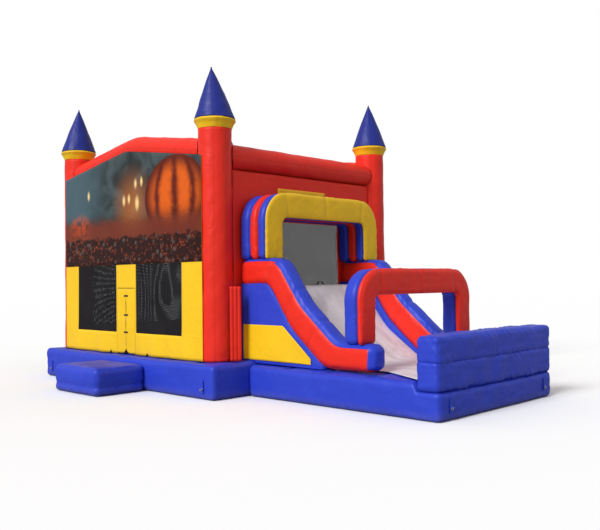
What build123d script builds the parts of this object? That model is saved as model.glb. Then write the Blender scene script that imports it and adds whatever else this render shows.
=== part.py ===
from build123d import *
import math
import os

# Inflatable castle bounce house with a side slide, standing on flat ground.
# Millimetres. +Z is up, +X runs from the house down the slide, the entrance faces -Y.
# The origin is the centre of the house's footprint, at ground level.

# Cutting shapes run PAST the faces that they cut through, and BEYOND is further than any part reaches
PAST = 1
BEYOND = 6000

# House: the inflated base that people bounce on
HOUSE_WIDTH = 4570
HOUSE_DEPTH = 4300
BASE_HEIGHT = 485
SKIN = 20
EDGE_ROUND = 45
HALF_WIDTH = HOUSE_WIDTH / 2
HALF_DEPTH = HOUSE_DEPTH / 2

# Webs inside the base, which keep its top flat
WEB_COUNT = 9
WEB_PITCH = 450
WEB_THICKNESS = 10
WEB_END_GAP = 300

# Corner towers
TOWER_INSET = 427
TOWER_RADIUS = 246
TOWER_TOP = 3728
COLLAR_RADIUS = 299
COLLAR_WIDEST_Z = 3835
COLLAR_TOP = 3868
SPIRE_BASE_RADIUS = 288
SPIRE_TIP_RADIUS = 12
SPIRE_TOP = 4619
TOWER_X = HALF_WIDTH - TOWER_INSET
TOWER_Y = HALF_DEPTH - TOWER_INSET
FACE_X = TOWER_X + TOWER_RADIUS
FACE_Y = TOWER_Y + TOWER_RADIUS

# Tubes between the towers
BEAM_RADIUS = 200
SIDE_BEAM_Z = 3360
GABLE_FOOT_Z = 3386
GABLE_RISE = 303
ROOF_THICKNESS = 6
ROOF_REACH = 15

# Flat walls of sheet and net
SHEET = 8
NET = 3
WALL_FOOT = 490
NET_OVERLAP = 22

# Front wall: two net windows with the entrance between them
DOOR_CENTRE_X = -25
DOOR_WIDTH = 480
DOOR_TOP = 1490
DOOR_FOOT = 500
DOOR_HINGE_GAP = 5
DOOR_SLIT = 2
STILE_WIDTH = 30
WINDOW_WIDTH = 1150
WINDOW_FOOT = 820
WINDOW_TOP = 1870
BANNER_THICKNESS = 4
PATCH_THICKNESS = 4
TIE_HEIGHTS = [824, 1090, 1386]
TIE_LENGTH = 55
TIE_WIDTH = 26
TIE_THICKNESS = 5

# Left and back walls: one large net window each
WALL_BORDER = 413
BIG_NET_FOOT = 850
BIG_NET_TOP = 2880

# Entrance step
STEP_X0 = -438
STEP_X1 = 737
STEP_REACH = 824
STEP_HEIGHT = 400

# Slide module
SLIDE_BASE_X1 = 5415
SLIDE_BASE_Y0 = -1537
SLIDE_BASE_Y1 = 1154
SLIDE_BASE_HEIGHT = 455
SLIDE_CENTRE_Y = -190
SLIDE_HALF_WIDTH = 1240
WALL_THICKNESS = 320
PLATFORM_Z = 1520
SLIDE_START_X = 1995
LINER = 6
CAP = 8
SEAM_GAP = 2
SIDE_RECESS = 30
STEP_OFF_INSET = 60
NEAR_Y0 = SLIDE_CENTRE_Y - SLIDE_HALF_WIDTH
NEAR_Y1 = NEAR_Y0 + WALL_THICKNESS
FAR_Y1 = SLIDE_CENTRE_Y + SLIDE_HALF_WIDTH
FAR_Y0 = FAR_Y1 - WALL_THICKNESS
RAIL_TOP_Z = 1900
RAIL_LOW_Z = 803
NEAR_WALL_END_X = 4400
BED_END_X = 3545
BED_END_Z = SLIDE_BASE_HEIGHT + LINER

# The slide from the side, as (x, z) points: the bed, the walls' top and foot, the caps' hem and a patch
BED_LINE = [(SLIDE_START_X, PLATFORM_Z), (2450, PLATFORM_Z), (2960, 872), (BED_END_X, BED_END_Z)]
RAIL_TOP = [(1900, RAIL_TOP_Z), (2790, RAIL_TOP_Z), (3215, 1320), (3830, RAIL_LOW_Z)]
RAIL_FOOT = [(3560, SLIDE_BASE_HEIGHT), (2985, 920), (2575, PLATFORM_Z), (1900, PLATFORM_Z)]
CAP_HEM = [(1800, 1700), (2680, 1700), (3105, 1130), (3700, 640)]
PATCH_OUTLINE = [(2060, 497), (3390, 497), (2855, 985), (2060, 985)]

# How far the corners of RAIL_TOP and RAIL_FOOT are rounded, and the corner at the walls' end
SHARP = 1
RAIL_TOP_ROUNDS = [SHARP, 220, 500, 200]
RAIL_FOOT_ROUNDS = [200, 300, 120, SHARP]
NEAR_END_ROUND = 90

# Bumper across the end of the landing
BUMPER_X0 = 5085
BUMPER_FOOT = 350
BUMPER_MIDDLE = 655
BUMPER_TOP = 960
BUMPER_ROUND = 60

# Tunnel over the top of the slide
TUNNEL_HALF_WIDTH = 1220
TUNNEL_LEG = 330
TUNNEL_TOP = 2830
TUNNEL_BAND = 360
TUNNEL_OUTER_ROUND = 400
TUNNEL_INNER_ROUND = 100
RIB_JOINTS_X = [1995, 2195, 2355, 2515, 2565]

# Arch over the slide exit
EXIT_TOP = 1730
EXIT_BAND = 340
EXIT_LEG = 310
EXIT_OUTER_ROUND = 400
EXIT_INNER_ROUND = 70
EXIT_X0 = 3935
EXIT_X1 = 4155
EXIT_X2 = 4235

# Climb inside the house, up to the platform
CLIMB_STEPS = 4
CLIMB_TREAD = 220
CLIMB_X1 = 1985
CLIMB_INSET = 5
HANDLE_RADIUS = 70
HANDLE_THICKNESS = 5
HANDLE_WIDTH = 30
HANDLE_SPREAD = 600
CLIMB_DROP = 10

# Flap that joins the front right tower to the slide
FLAP_WIDTH = 165
FLAP_THICKNESS = 14
FLAP_TURN = 64
FLAP_X = 2156
FLAP_Y = -1628

# Ground anchors: a webbing strap with a loop, and a D-ring that hangs in it
ANCHOR_BAR_Z = 150
ANCHOR_BAR_OUT = 11
ANCHOR_STRAP = [60, 3, 180]
ANCHOR_STRAP_DROP = 60
ANCHOR_NECK_HALF = 6
RING_RADIUS = 25
RING_WIRE = 4
LOOP_BORE = 4.08
LOOP_RADIUS = 7.5
LOOP_LENGTH = 38
ANCHOR_IN = 235

# Blower sleeve, strap and deflation zipper on the back of the base
SLEEVE_X = -1500
SLEEVE_Z = 155
SLEEVE_RADIUS = 150
SLEEVE_BORE = 140
SLEEVE_LENGTH = 500
STRAP_THICKNESS = 3
STRAP_WIDTH = 25
STRAP_FROM_MOUTH = 90
ZIP_X0 = 300
ZIP_LENGTH = 620
ZIP_Z = 300
ZIP_TAPE = [30, 2]
ZIP_SLIDER = [24, 6, 14]
ZIP_SLIDER_START = 6
ZIP_GAP = 0.3

parts = {}


def block(x0, x1, y0, y1, z0, z1):
    """A box between two opposite corners."""
    size = (x1 - x0, y1 - y0, z1 - z0)
    return Pos((x0 + x1) / 2, (y0 + y1) / 2, (z0 + z1) / 2) * Box(*size)


def prism_along_y(outline, y0, y1):
    """An outline of (x, z) points carried from y0 to y1."""
    wire = Wire.make_polygon([Vector(x, y0, z) for x, z in outline], close=True)
    return Solid.extrude(Face(wire), Vector(0, y1 - y0, 0))


def prism_along_x(outline, x0, x1):
    """An outline of (y, z) points carried from x0 to x1."""
    wire = Wire.make_polygon([Vector(x0, y, z) for y, z in outline], close=True)
    return Solid.extrude(Face(wire), Vector(x1 - x0, 0, 0))


def rounded_prism_along_y(outline, radii, y0, y1):
    """The same as prism_along_y, with each corner rounded by its own radius."""
    points = [Vector(x, y0, z) for x, z in outline]
    line = FilletPolyline(*points, radius=radii, close=True)
    return Solid.extrude(Face(Wire(line.edges())), Vector(0, y1 - y0, 0))


def upright_cylinder(x, y, radius, z0, z1):
    """A cylinder standing on z0."""
    return Pos(x, y, (z0 + z1) / 2) * Cylinder(radius, z1 - z0)


def soft_box(x0, x1, y0, y1, z0, z1, rounding):
    """An inflated block: its top and upright edges are rounded, its underside is flat."""
    body = block(x0, x1, y0, y1, z0, z1)
    upright = body.edges().filter_by(Axis.Z)
    body = fillet(upright, rounding)
    top = body.edges().group_by(Axis.Z)[-1]
    return fillet(top, rounding)


def hollowed_box(x0, x1, y0, y1, z0, z1, rounding):
    """A soft box with the air space inside it taken out."""
    air = block(x0 + SKIN, x1 - SKIN, y0 + SKIN, y1 - SKIN, z0 + SKIN, z1 - SKIN)
    air = fillet(air.edges(), rounding - SKIN)
    return soft_box(x0, x1, y0, y1, z0, z1, rounding) - air


def chamber_air(chamber):
    """The air space of a chamber with flat walls: the same shape, smaller by the skin all round."""
    return offset(chamber, amount=-SKIN, kind=Kind.INTERSECTION)


def arch(x0, x1, half_width, leg, foot_z, top_z, band, outer_round, inner_round):
    """An upside-down U in the YZ plane, from x0 to x1, centred on the slide."""
    outer = block(x0, x1, SLIDE_CENTRE_Y - half_width, SLIDE_CENTRE_Y + half_width, foot_z, top_z)
    outer = fillet(outer.edges().filter_by(Axis.X).group_by(Axis.Z)[-1], outer_round)
    inner_half = half_width - leg
    inner = block(
        x0 - PAST,
        x1 + PAST,
        SLIDE_CENTRE_Y - inner_half,
        SLIDE_CENTRE_Y + inner_half,
        foot_z - PAST,
        top_z - band,
    )
    inner = fillet(inner.edges().filter_by(Axis.X).group_by(Axis.Z)[-1], inner_round)
    return outer - inner


# Base of the house, with the webs sewn inside it
parts["bounce_floor"] = hollowed_box(
    -HALF_WIDTH, HALF_WIDTH, -HALF_DEPTH, HALF_DEPTH, 0, BASE_HEIGHT, EDGE_ROUND
)
webs = []
for number in range(WEB_COUNT):
    web_x = (number - (WEB_COUNT - 1) / 2) * WEB_PITCH
    web = block(
        web_x - WEB_THICKNESS / 2,
        web_x + WEB_THICKNESS / 2,
        -HALF_DEPTH + WEB_END_GAP,
        HALF_DEPTH - WEB_END_GAP,
        SKIN,
        BASE_HEIGHT - SKIN,
    )
    webs.append(web.solid())
parts["floor_webs"] = Compound(webs)

# Entrance step in front of the door
parts["entrance_step"] = hollowed_box(
    STEP_X0, STEP_X1, -HALF_DEPTH - STEP_REACH, -HALF_DEPTH, 0, STEP_HEIGHT, EDGE_ROUND
)

# Four corner towers, each a tube, a flared collar and a pointed spire
corners = {
    "front_left": (-TOWER_X, -TOWER_Y),
    "front_right": (TOWER_X, -TOWER_Y),
    "back_left": (-TOWER_X, TOWER_Y),
    "back_right": (TOWER_X, TOWER_Y),
}
collars = []
for corner, (x, y) in corners.items():
    tube = upright_cylinder(x, y, TOWER_RADIUS, BASE_HEIGHT, TOWER_TOP)
    air = upright_cylinder(x, y, TOWER_RADIUS - SKIN, BASE_HEIGHT + SKIN, TOWER_TOP - SKIN)
    parts["tower_" + corner] = tube - air
    flare_height = COLLAR_WIDEST_Z - TOWER_TOP
    flare = Pos(x, y, TOWER_TOP + flare_height / 2) * Cone(TOWER_RADIUS, COLLAR_RADIUS, flare_height)
    rim_height = COLLAR_TOP - COLLAR_WIDEST_Z
    rim = Pos(x, y, COLLAR_WIDEST_Z + rim_height / 2) * Cone(COLLAR_RADIUS, SPIRE_BASE_RADIUS, rim_height)
    collars.append((flare + rim).solid())
    spire_height = SPIRE_TOP - COLLAR_TOP
    spire = Cone(SPIRE_BASE_RADIUS, SPIRE_TIP_RADIUS, spire_height)
    parts["spire_" + corner] = Pos(x, y, COLLAR_TOP + spire_height / 2) * spire
parts["tower_collars"] = Compound(collars)
towers = [upright_cylinder(x, y, TOWER_RADIUS, BASE_HEIGHT, TOWER_TOP) for x, y in corners.values()]


def clear_of_towers(shape):
    """The shape with the towers cut out of it."""
    for tower in towers:
        shape = shape - tower
    return shape


def gable_tube(y, radius):
    """Two tubes that rise from the towers and meet in a mitre over the middle."""
    slope = math.degrees(math.atan2(GABLE_RISE, TOWER_X))
    halves = []
    for side in (-1, 1):
        tube = Cylinder(radius, HOUSE_WIDTH).rotate(Axis.Y, 90 + side * slope)
        tube = Pos(0, y, GABLE_FOOT_Z + GABLE_RISE) * tube
        x0, x1 = sorted((0, side * TOWER_X))
        halves.append(tube & block(x0, x1, y - TOWER_Y, y + TOWER_Y, 0, SPIRE_TOP))
    return halves[0] + halves[1]


def side_tube(x, radius):
    """A level tube between the two towers on one side."""
    tube = Cylinder(radius, 2 * TOWER_Y).rotate(Axis.X, 90)
    return Pos(x, 0, SIDE_BEAM_Z) * tube


gables = {"front": gable_tube(-TOWER_Y, BEAM_RADIUS), "back": gable_tube(TOWER_Y, BEAM_RADIUS)}
for end, y in (("front", -TOWER_Y), ("back", TOWER_Y)):
    parts["gable_beam_" + end] = clear_of_towers(gables[end] - gable_tube(y, BEAM_RADIUS - SKIN))
for side, x in (("left", -TOWER_X), ("right", TOWER_X)):
    beam = side_tube(x, BEAM_RADIUS) - side_tube(x, BEAM_RADIUS - SKIN)
    parts["side_beam_" + side] = clear_of_towers(beam) - gables["front"] - gables["back"]

# Roof: one sheet with a ridge, sewn to the four beams
roof_x = TOWER_X - BEAM_RADIUS + ROOF_REACH
roof_y = TOWER_Y - BEAM_RADIUS + ROOF_REACH
ridge_z = GABLE_FOOT_Z + GABLE_RISE
eave_z = ridge_z - GABLE_RISE * roof_x / TOWER_X
roof_outline = [
    (-roof_x, eave_z),
    (0, ridge_z),
    (roof_x, eave_z),
    (roof_x, eave_z + ROOF_THICKNESS),
    (0, ridge_z + ROOF_THICKNESS),
    (-roof_x, eave_z + ROOF_THICKNESS),
]
roof = prism_along_y(roof_outline, -roof_y, roof_y)
roof = roof - gables["front"] - gables["back"]
for x in (-TOWER_X, TOWER_X):
    roof = roof - side_tube(x, BEAM_RADIUS)
parts["roof_sheet"] = clear_of_towers(roof)


# Front wall: one sheet with a doorway and two windows, tangent to the towers
def gabled_outline(foot_z):
    """The shape of the front and back walls above foot_z, as (x, z) points."""
    return [
        (-TOWER_X, foot_z),
        (TOWER_X, foot_z),
        (TOWER_X, GABLE_FOOT_Z),
        (0, GABLE_FOOT_Z + GABLE_RISE),
        (-TOWER_X, GABLE_FOOT_Z),
    ]


hinge_left_x = DOOR_CENTRE_X - DOOR_WIDTH / 2
hinge_right_x = DOOR_CENTRE_X + DOOR_WIDTH / 2
windows = [
    (hinge_left_x - STILE_WIDTH - WINDOW_WIDTH, hinge_left_x - STILE_WIDTH),
    (hinge_right_x + STILE_WIDTH, hinge_right_x + STILE_WIDTH + WINDOW_WIDTH),
]
front_y0 = -FACE_Y - SHEET
front_panel = prism_along_y(gabled_outline(WALL_FOOT), front_y0, -FACE_Y)
front_panel = front_panel - block(
    hinge_left_x - DOOR_HINGE_GAP,
    hinge_right_x + DOOR_HINGE_GAP,
    front_y0 - PAST,
    -FACE_Y + PAST,
    WALL_FOOT - PAST,
    DOOR_TOP,
)
window_nets = []
for x0, x1 in windows:
    front_panel = front_panel - block(x0, x1, front_y0 - PAST, -FACE_Y + PAST, WINDOW_FOOT, WINDOW_TOP)
    net = block(
        x0 - NET_OVERLAP,
        x1 + NET_OVERLAP,
        -FACE_Y,
        -FACE_Y + NET,
        WINDOW_FOOT - NET_OVERLAP,
        WINDOW_TOP + NET_OVERLAP,
    )
    window_nets.append(net.solid())
parts["front_panel"] = front_panel
parts["window_nets"] = Compound(window_nets)

# Art banner over the upper half of the front wall
parts["banner"] = prism_along_y(gabled_outline(WINDOW_TOP), front_y0 - BANNER_THICKNESS, front_y0)

# Door: two flaps that meet in a slit, each with three short ties
flap_ends = {
    "left": (hinge_left_x + DOOR_HINGE_GAP, DOOR_CENTRE_X - DOOR_SLIT / 2),
    "right": (DOOR_CENTRE_X + DOOR_SLIT / 2, hinge_right_x - DOOR_HINGE_GAP),
}
for side, (x0, x1) in flap_ends.items():
    parts["door_flap_" + side] = block(x0, x1, front_y0, -FACE_Y, DOOR_FOOT, DOOR_TOP - DOOR_HINGE_GAP)
    tie_x0 = x1 - TIE_LENGTH if side == "left" else x0
    ties = []
    for tie_z in TIE_HEIGHTS:
        tie = block(
            tie_x0,
            tie_x0 + TIE_LENGTH,
            front_y0 - TIE_THICKNESS,
            front_y0,
            tie_z - TIE_WIDTH / 2,
            tie_z + TIE_WIDTH / 2,
        )
        ties.append(tie.solid())
    parts["door_ties_" + side] = Compound(ties)

# Left and back walls: a sheet frame round one large net
left_outline = [
    (-TOWER_Y, WALL_FOOT),
    (TOWER_Y, WALL_FOOT),
    (TOWER_Y, SIDE_BEAM_Z),
    (-TOWER_Y, SIDE_BEAM_Z),
]
left_half = TOWER_Y - WALL_BORDER
back_half = TOWER_X - WALL_BORDER
left_wall = prism_along_x(left_outline, -FACE_X - SHEET, -FACE_X)
parts["left_wall_frame"] = left_wall - block(
    -FACE_X - SHEET - PAST, -FACE_X + PAST, -left_half, left_half, BIG_NET_FOOT, BIG_NET_TOP
)
back_wall = prism_along_y(gabled_outline(WALL_FOOT), FACE_Y, FACE_Y + SHEET)
parts["back_wall_frame"] = back_wall - block(
    -back_half, back_half, FACE_Y - PAST, FACE_Y + SHEET + PAST, BIG_NET_FOOT, BIG_NET_TOP
)
left_net = block(
    -FACE_X,
    -FACE_X + NET,
    -left_half - NET_OVERLAP,
    left_half + NET_OVERLAP,
    BIG_NET_FOOT - NET_OVERLAP,
    BIG_NET_TOP + NET_OVERLAP,
)
back_net = block(
    -back_half - NET_OVERLAP,
    back_half + NET_OVERLAP,
    FACE_Y - NET,
    FACE_Y,
    BIG_NET_FOOT - NET_OVERLAP,
    BIG_NET_TOP + NET_OVERLAP,
)
parts["wall_nets"] = Compound([left_net.solid(), back_net.solid()])

# Right wall: a sheet round the mouth of the tunnel, between the towers
tunnel_inner = TUNNEL_HALF_WIDTH - TUNNEL_LEG
right_x1 = SLIDE_START_X - SEAM_GAP
right_wall = block(right_x1 - SHEET, right_x1, -TOWER_Y, TOWER_Y, WALL_FOOT, SIDE_BEAM_Z)
right_wall = right_wall - block(
    right_x1 - SHEET - PAST,
    right_x1 + PAST,
    SLIDE_CENTRE_Y - tunnel_inner,
    SLIDE_CENTRE_Y + tunnel_inner,
    PLATFORM_Z,
    TUNNEL_TOP - TUNNEL_BAND,
)
parts["right_wall_panel"] = clear_of_towers(right_wall) - side_tube(TOWER_X, BEAM_RADIUS)

# Base of the slide: lower at the end, where the bumper stands on it
slide_base = hollowed_box(
    HALF_WIDTH, BUMPER_X0, SLIDE_BASE_Y0, SLIDE_BASE_Y1, 0, SLIDE_BASE_HEIGHT, EDGE_ROUND
)
landing_base = hollowed_box(
    BUMPER_X0, SLIDE_BASE_X1, SLIDE_BASE_Y0, SLIDE_BASE_Y1, 0, BUMPER_FOOT, EDGE_ROUND
)
parts["slide_base"] = slide_base + landing_base
bumper_tubes = (
    ("bumper_lower", BUMPER_FOOT, BUMPER_MIDDLE),
    ("bumper_upper", BUMPER_MIDDLE, BUMPER_TOP),
)
for name, z0, z1 in bumper_tubes:
    tube = block(BUMPER_X0, SLIDE_BASE_X1, SLIDE_BASE_Y0, SLIDE_BASE_Y1, z0, z1)
    parts[name] = fillet(tube.edges().filter_by(Axis.Y), BUMPER_ROUND)

# Slide body: a hollow chamber with the bed's profile, from the platform down to the landing
core_line = [(x, z - LINER) for x, z in BED_LINE]
core_foot = [(BED_END_X, SLIDE_BASE_HEIGHT), (HALF_WIDTH, SLIDE_BASE_HEIGHT)]
core_foot = core_foot + [(HALF_WIDTH, BASE_HEIGHT), (SLIDE_START_X, BASE_HEIGHT)]
slide_core = prism_along_y(core_line[:-1] + core_foot, NEAR_Y1, FAR_Y0)
parts["slide_core"] = slide_core - chamber_air(slide_core)

# White liner over the bed and the landing; it reaches out to the side where riders step off
liner = prism_along_y(BED_LINE + core_line[::-1], NEAR_Y1, FAR_Y0)
landing = [
    Vector(BED_END_X, NEAR_Y1, SLIDE_BASE_HEIGHT),
    Vector(NEAR_WALL_END_X, NEAR_Y1, SLIDE_BASE_HEIGHT),
    Vector(BUMPER_X0, SLIDE_BASE_Y0 + STEP_OFF_INSET, SLIDE_BASE_HEIGHT),
    Vector(BUMPER_X0, FAR_Y0, SLIDE_BASE_HEIGHT),
    Vector(BED_END_X, FAR_Y0, SLIDE_BASE_HEIGHT),
]
landing_face = Face(Wire.make_polygon(landing, close=True))
liner = liner + Solid.extrude(landing_face, Vector(0, 0, LINER))
parts["slide_liner"] = liner - slide_core

# Side walls of the slide: red tubes on blue side chambers, with a blue cap along the top
side_outline = [(SLIDE_START_X, PLATFORM_Z)] + RAIL_FOOT[2::-1] + core_foot[1:]
before_start = block(0, SLIDE_START_X, -BEYOND, BEYOND, 0, BEYOND)
walls = {
    "near": (NEAR_Y0, NEAR_Y1, NEAR_WALL_END_X, NEAR_END_ROUND),
    "far": (FAR_Y0, FAR_Y1, BUMPER_X0, SHARP),
}
patches = []
for side, (y0, y1, end_x, end_round) in walls.items():
    rounds = RAIL_TOP_ROUNDS + [end_round, SHARP] + RAIL_FOOT_ROUNDS
    outline = RAIL_TOP + [(end_x, RAIL_LOW_Z), (end_x, SLIDE_BASE_HEIGHT)] + RAIL_FOOT
    wall = rounded_prism_along_y(outline, rounds, y0, y1) - before_start
    inside = [(x, z - CAP) for x, z in RAIL_TOP]
    inside = inside + [(end_x - CAP, RAIL_LOW_Z - CAP), (end_x - CAP, SLIDE_BASE_HEIGHT - CAP)] + RAIL_FOOT
    below_cap = rounded_prism_along_y(inside, rounds, y0, y1)
    hem_end = [(end_x - 2 * CAP, CAP_HEM[-1][1]), (end_x - 2 * CAP, 0)]
    above_hem = CAP_HEM + hem_end + [(BEYOND, 0), (BEYOND, BEYOND), (CAP_HEM[0][0], BEYOND)]
    cap = (wall - below_cap) & prism_along_y(above_hem, y0, y1)
    parts["slide_cap_" + side] = cap
    parts["slide_wall_" + side] = wall - cap
    out_y0 = y0 + SIDE_RECESS if side == "near" else y0
    out_y1 = y1 if side == "near" else y1 - SIDE_RECESS
    parts["slide_side_" + side] = prism_along_y(side_outline, out_y0, out_y1) - wall
    patch_y0 = out_y0 - PATCH_THICKNESS if side == "near" else out_y1
    patches.append(prism_along_y(PATCH_OUTLINE, patch_y0, patch_y0 + PATCH_THICKNESS).solid())
parts["side_patches"] = Compound(patches)

# Tunnel: three arched tubes one behind another, and a yellow front on the last of them
rib_names = ["tunnel_rib_rear", "tunnel_rib_middle", "tunnel_rib_front", "tunnel_front"]
for name, x0, x1 in zip(rib_names, RIB_JOINTS_X, RIB_JOINTS_X[1:]):
    parts[name] = arch(
        x0,
        x1,
        TUNNEL_HALF_WIDTH,
        TUNNEL_LEG,
        RAIL_TOP_Z,
        TUNNEL_TOP,
        TUNNEL_BAND,
        TUNNEL_OUTER_ROUND,
        TUNNEL_INNER_ROUND,
    )

# Exit arch: a blue band with a red front, standing on the low part of the walls
for name, x0, x1 in (("exit_arch_band", EXIT_X0, EXIT_X1), ("exit_arch_front", EXIT_X1, EXIT_X2)):
    parts[name] = arch(
        x0,
        x1,
        SLIDE_HALF_WIDTH,
        EXIT_LEG,
        RAIL_LOW_Z,
        EXIT_TOP,
        EXIT_BAND,
        EXIT_OUTER_ROUND,
        EXIT_INNER_ROUND,
    )

# Flap that joins the front right tower to the slide
flap = Box(FLAP_WIDTH, FLAP_THICKNESS, PLATFORM_Z - BASE_HEIGHT - 2 * SEAM_GAP).rotate(Axis.Z, FLAP_TURN)
parts["joining_flap"] = Pos(FLAP_X, FLAP_Y, (PLATFORM_Z + BASE_HEIGHT) / 2) * flap

# Climb: a stepped hollow chamber inside the house, with two webbing handles at its top
climb_top = PLATFORM_Z - CLIMB_DROP
climb_rise = (climb_top - BASE_HEIGHT) / CLIMB_STEPS
climb_outline = [(CLIMB_X1, BASE_HEIGHT), (CLIMB_X1, climb_top)]
for number in range(CLIMB_STEPS):
    tread_x = CLIMB_X1 - (number + 1) * CLIMB_TREAD
    tread_z = climb_top - number * climb_rise
    climb_outline.append((tread_x, tread_z))
    climb_outline.append((tread_x, tread_z - climb_rise))
climb = prism_along_y(climb_outline, NEAR_Y1 + CLIMB_INSET, FAR_Y0 - CLIMB_INSET)
parts["climb_steps"] = climb - chamber_air(climb)
handles = []
handle_x = CLIMB_X1 - CLIMB_TREAD / 2
for side in (-1, 1):
    handle_y = SLIDE_CENTRE_Y + side * HANDLE_SPREAD
    ring = Cylinder(HANDLE_RADIUS, HANDLE_WIDTH) - Cylinder(HANDLE_RADIUS - HANDLE_THICKNESS, HANDLE_WIDTH)
    ring = Pos(handle_x, handle_y, climb_top) * ring.rotate(Axis.Y, 90)
    handles.append((ring & block(0, BEYOND, -BEYOND, BEYOND, climb_top, BEYOND)).solid())
parts["climb_handles"] = Compound(handles)

# Ground anchors at the house's corners and at the end of the slide.
# Each place is the bar's middle on the face, and the way the face looks, in degrees from -Y.
anchor_places = {
    "front_left": (-HALF_WIDTH + ANCHOR_IN, -HALF_DEPTH, 0),
    "front_right": (HALF_WIDTH - ANCHOR_IN, -HALF_DEPTH, 0),
    "back_left": (-HALF_WIDTH + ANCHOR_IN, HALF_DEPTH, 180),
    "back_right": (HALF_WIDTH - ANCHOR_IN, HALF_DEPTH, 180),
    "slide_near": (SLIDE_BASE_X1, SLIDE_BASE_Y0 + ANCHOR_IN, 90),
    "slide_far": (SLIDE_BASE_X1, SLIDE_BASE_Y1 - ANCHOR_IN, 90),
}
straps = []
for place, (x, y, turn) in anchor_places.items():
    where = Pos(x, y, 0) * Rot(0, 0, turn)
    width, thickness, height = ANCHOR_STRAP
    strap_foot = ANCHOR_BAR_Z - ANCHOR_STRAP_DROP
    strap = block(-width / 2, width / 2, -thickness, 0, strap_foot, strap_foot + height)
    loop = Cylinder(LOOP_RADIUS, LOOP_LENGTH).rotate(Axis.Y, 90)
    neck = block(
        -LOOP_LENGTH / 2,
        LOOP_LENGTH / 2,
        -ANCHOR_BAR_OUT,
        -thickness,
        ANCHOR_BAR_Z - ANCHOR_NECK_HALF,
        ANCHOR_BAR_Z + ANCHOR_NECK_HALF,
    )
    loop = Pos(0, -ANCHOR_BAR_OUT, ANCHOR_BAR_Z) * loop
    bore = Pos(0, -ANCHOR_BAR_OUT, ANCHOR_BAR_Z) * Cylinder(LOOP_BORE, 2 * LOOP_LENGTH).rotate(Axis.Y, 90)
    straps.append((where * (strap + neck + loop - bore)).solid())
    bow = Torus(RING_RADIUS, RING_WIRE).rotate(Axis.X, 90)
    bow = bow & block(-BEYOND, BEYOND, -BEYOND, BEYOND, -BEYOND, 0)
    bar = Cylinder(RING_WIRE, 2 * RING_RADIUS).rotate(Axis.Y, 90)
    ends = Pos(-RING_RADIUS, 0, 0) * Sphere(RING_WIRE) + Pos(RING_RADIUS, 0, 0) * Sphere(RING_WIRE)
    ring = Pos(0, -ANCHOR_BAR_OUT, ANCHOR_BAR_Z) * (bow + bar + ends)
    parts["ring_" + place] = where * ring
parts["anchor_straps"] = Compound(straps)


# Blower sleeve on the back of the base, with its tie strap
def lying_cylinder(radius, y0, y1):
    """A cylinder along Y on the sleeve's centre line."""
    return Pos(SLEEVE_X, (y0 + y1) / 2, SLEEVE_Z) * Cylinder(radius, y1 - y0).rotate(Axis.X, 90)


sleeve_end = HALF_DEPTH + SLEEVE_LENGTH
parts["blower_sleeve"] = lying_cylinder(SLEEVE_RADIUS, HALF_DEPTH, sleeve_end) - lying_cylinder(
    SLEEVE_BORE, HALF_DEPTH, sleeve_end
)
strap_y0 = sleeve_end - STRAP_FROM_MOUTH - STRAP_WIDTH
strap_y1 = sleeve_end - STRAP_FROM_MOUTH
parts["sleeve_strap"] = lying_cylinder(
    SLEEVE_RADIUS + STRAP_THICKNESS, strap_y0, strap_y1
) - lying_cylinder(SLEEVE_RADIUS, strap_y0, strap_y1)

# Deflation zipper: its tape, and the slider that opens it
tape_width, tape_thickness = ZIP_TAPE
zip_face = HALF_DEPTH + tape_thickness
parts["zipper_tape"] = block(
    ZIP_X0, ZIP_X0 + ZIP_LENGTH, HALF_DEPTH, zip_face, ZIP_Z - tape_width / 2, ZIP_Z + tape_width / 2
)
slider_length, slider_depth, slider_height = ZIP_SLIDER
parts["zipper_slider"] = block(
    ZIP_X0 + ZIP_SLIDER_START,
    ZIP_X0 + ZIP_SLIDER_START + slider_length,
    zip_face + ZIP_GAP,
    zip_face + ZIP_GAP + slider_depth,
    ZIP_Z - slider_height / 2,
    ZIP_Z + slider_height / 2,
)

os.makedirs("parts", exist_ok=True)
for name, shape in parts.items():
    export_step(shape, "parts/" + name + ".step")
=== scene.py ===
import math
from functools import partial

import bpy
import numpy as np
from mathutils import Matrix, Vector


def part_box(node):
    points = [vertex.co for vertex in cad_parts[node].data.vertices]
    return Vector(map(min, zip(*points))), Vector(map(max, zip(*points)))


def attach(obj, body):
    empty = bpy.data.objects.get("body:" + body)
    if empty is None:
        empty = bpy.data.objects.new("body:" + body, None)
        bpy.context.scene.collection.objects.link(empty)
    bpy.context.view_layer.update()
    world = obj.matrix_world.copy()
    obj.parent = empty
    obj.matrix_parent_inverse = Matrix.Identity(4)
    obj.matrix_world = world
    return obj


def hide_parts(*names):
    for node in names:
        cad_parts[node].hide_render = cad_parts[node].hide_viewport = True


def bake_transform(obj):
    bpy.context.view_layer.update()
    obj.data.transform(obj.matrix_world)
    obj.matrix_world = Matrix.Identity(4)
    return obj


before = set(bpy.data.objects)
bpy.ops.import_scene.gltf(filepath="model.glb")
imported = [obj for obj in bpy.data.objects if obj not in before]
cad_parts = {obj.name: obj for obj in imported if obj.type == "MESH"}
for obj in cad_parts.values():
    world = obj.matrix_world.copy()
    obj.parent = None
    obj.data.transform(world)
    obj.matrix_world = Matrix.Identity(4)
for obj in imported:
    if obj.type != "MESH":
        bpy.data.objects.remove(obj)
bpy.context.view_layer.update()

# Camera: someone standing on the grass off the right front corner of the house,
# at about eye height, looking almost level at the front wall and down the side of the slide.
CAMERA_PLACE = Vector((10.1455, -8.5682, 1.5804))
CAMERA_YAW = math.radians(44.153)
CAMERA_PITCH = math.radians(1.22)
CAMERA_ROLL = math.radians(-0.678)
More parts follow.
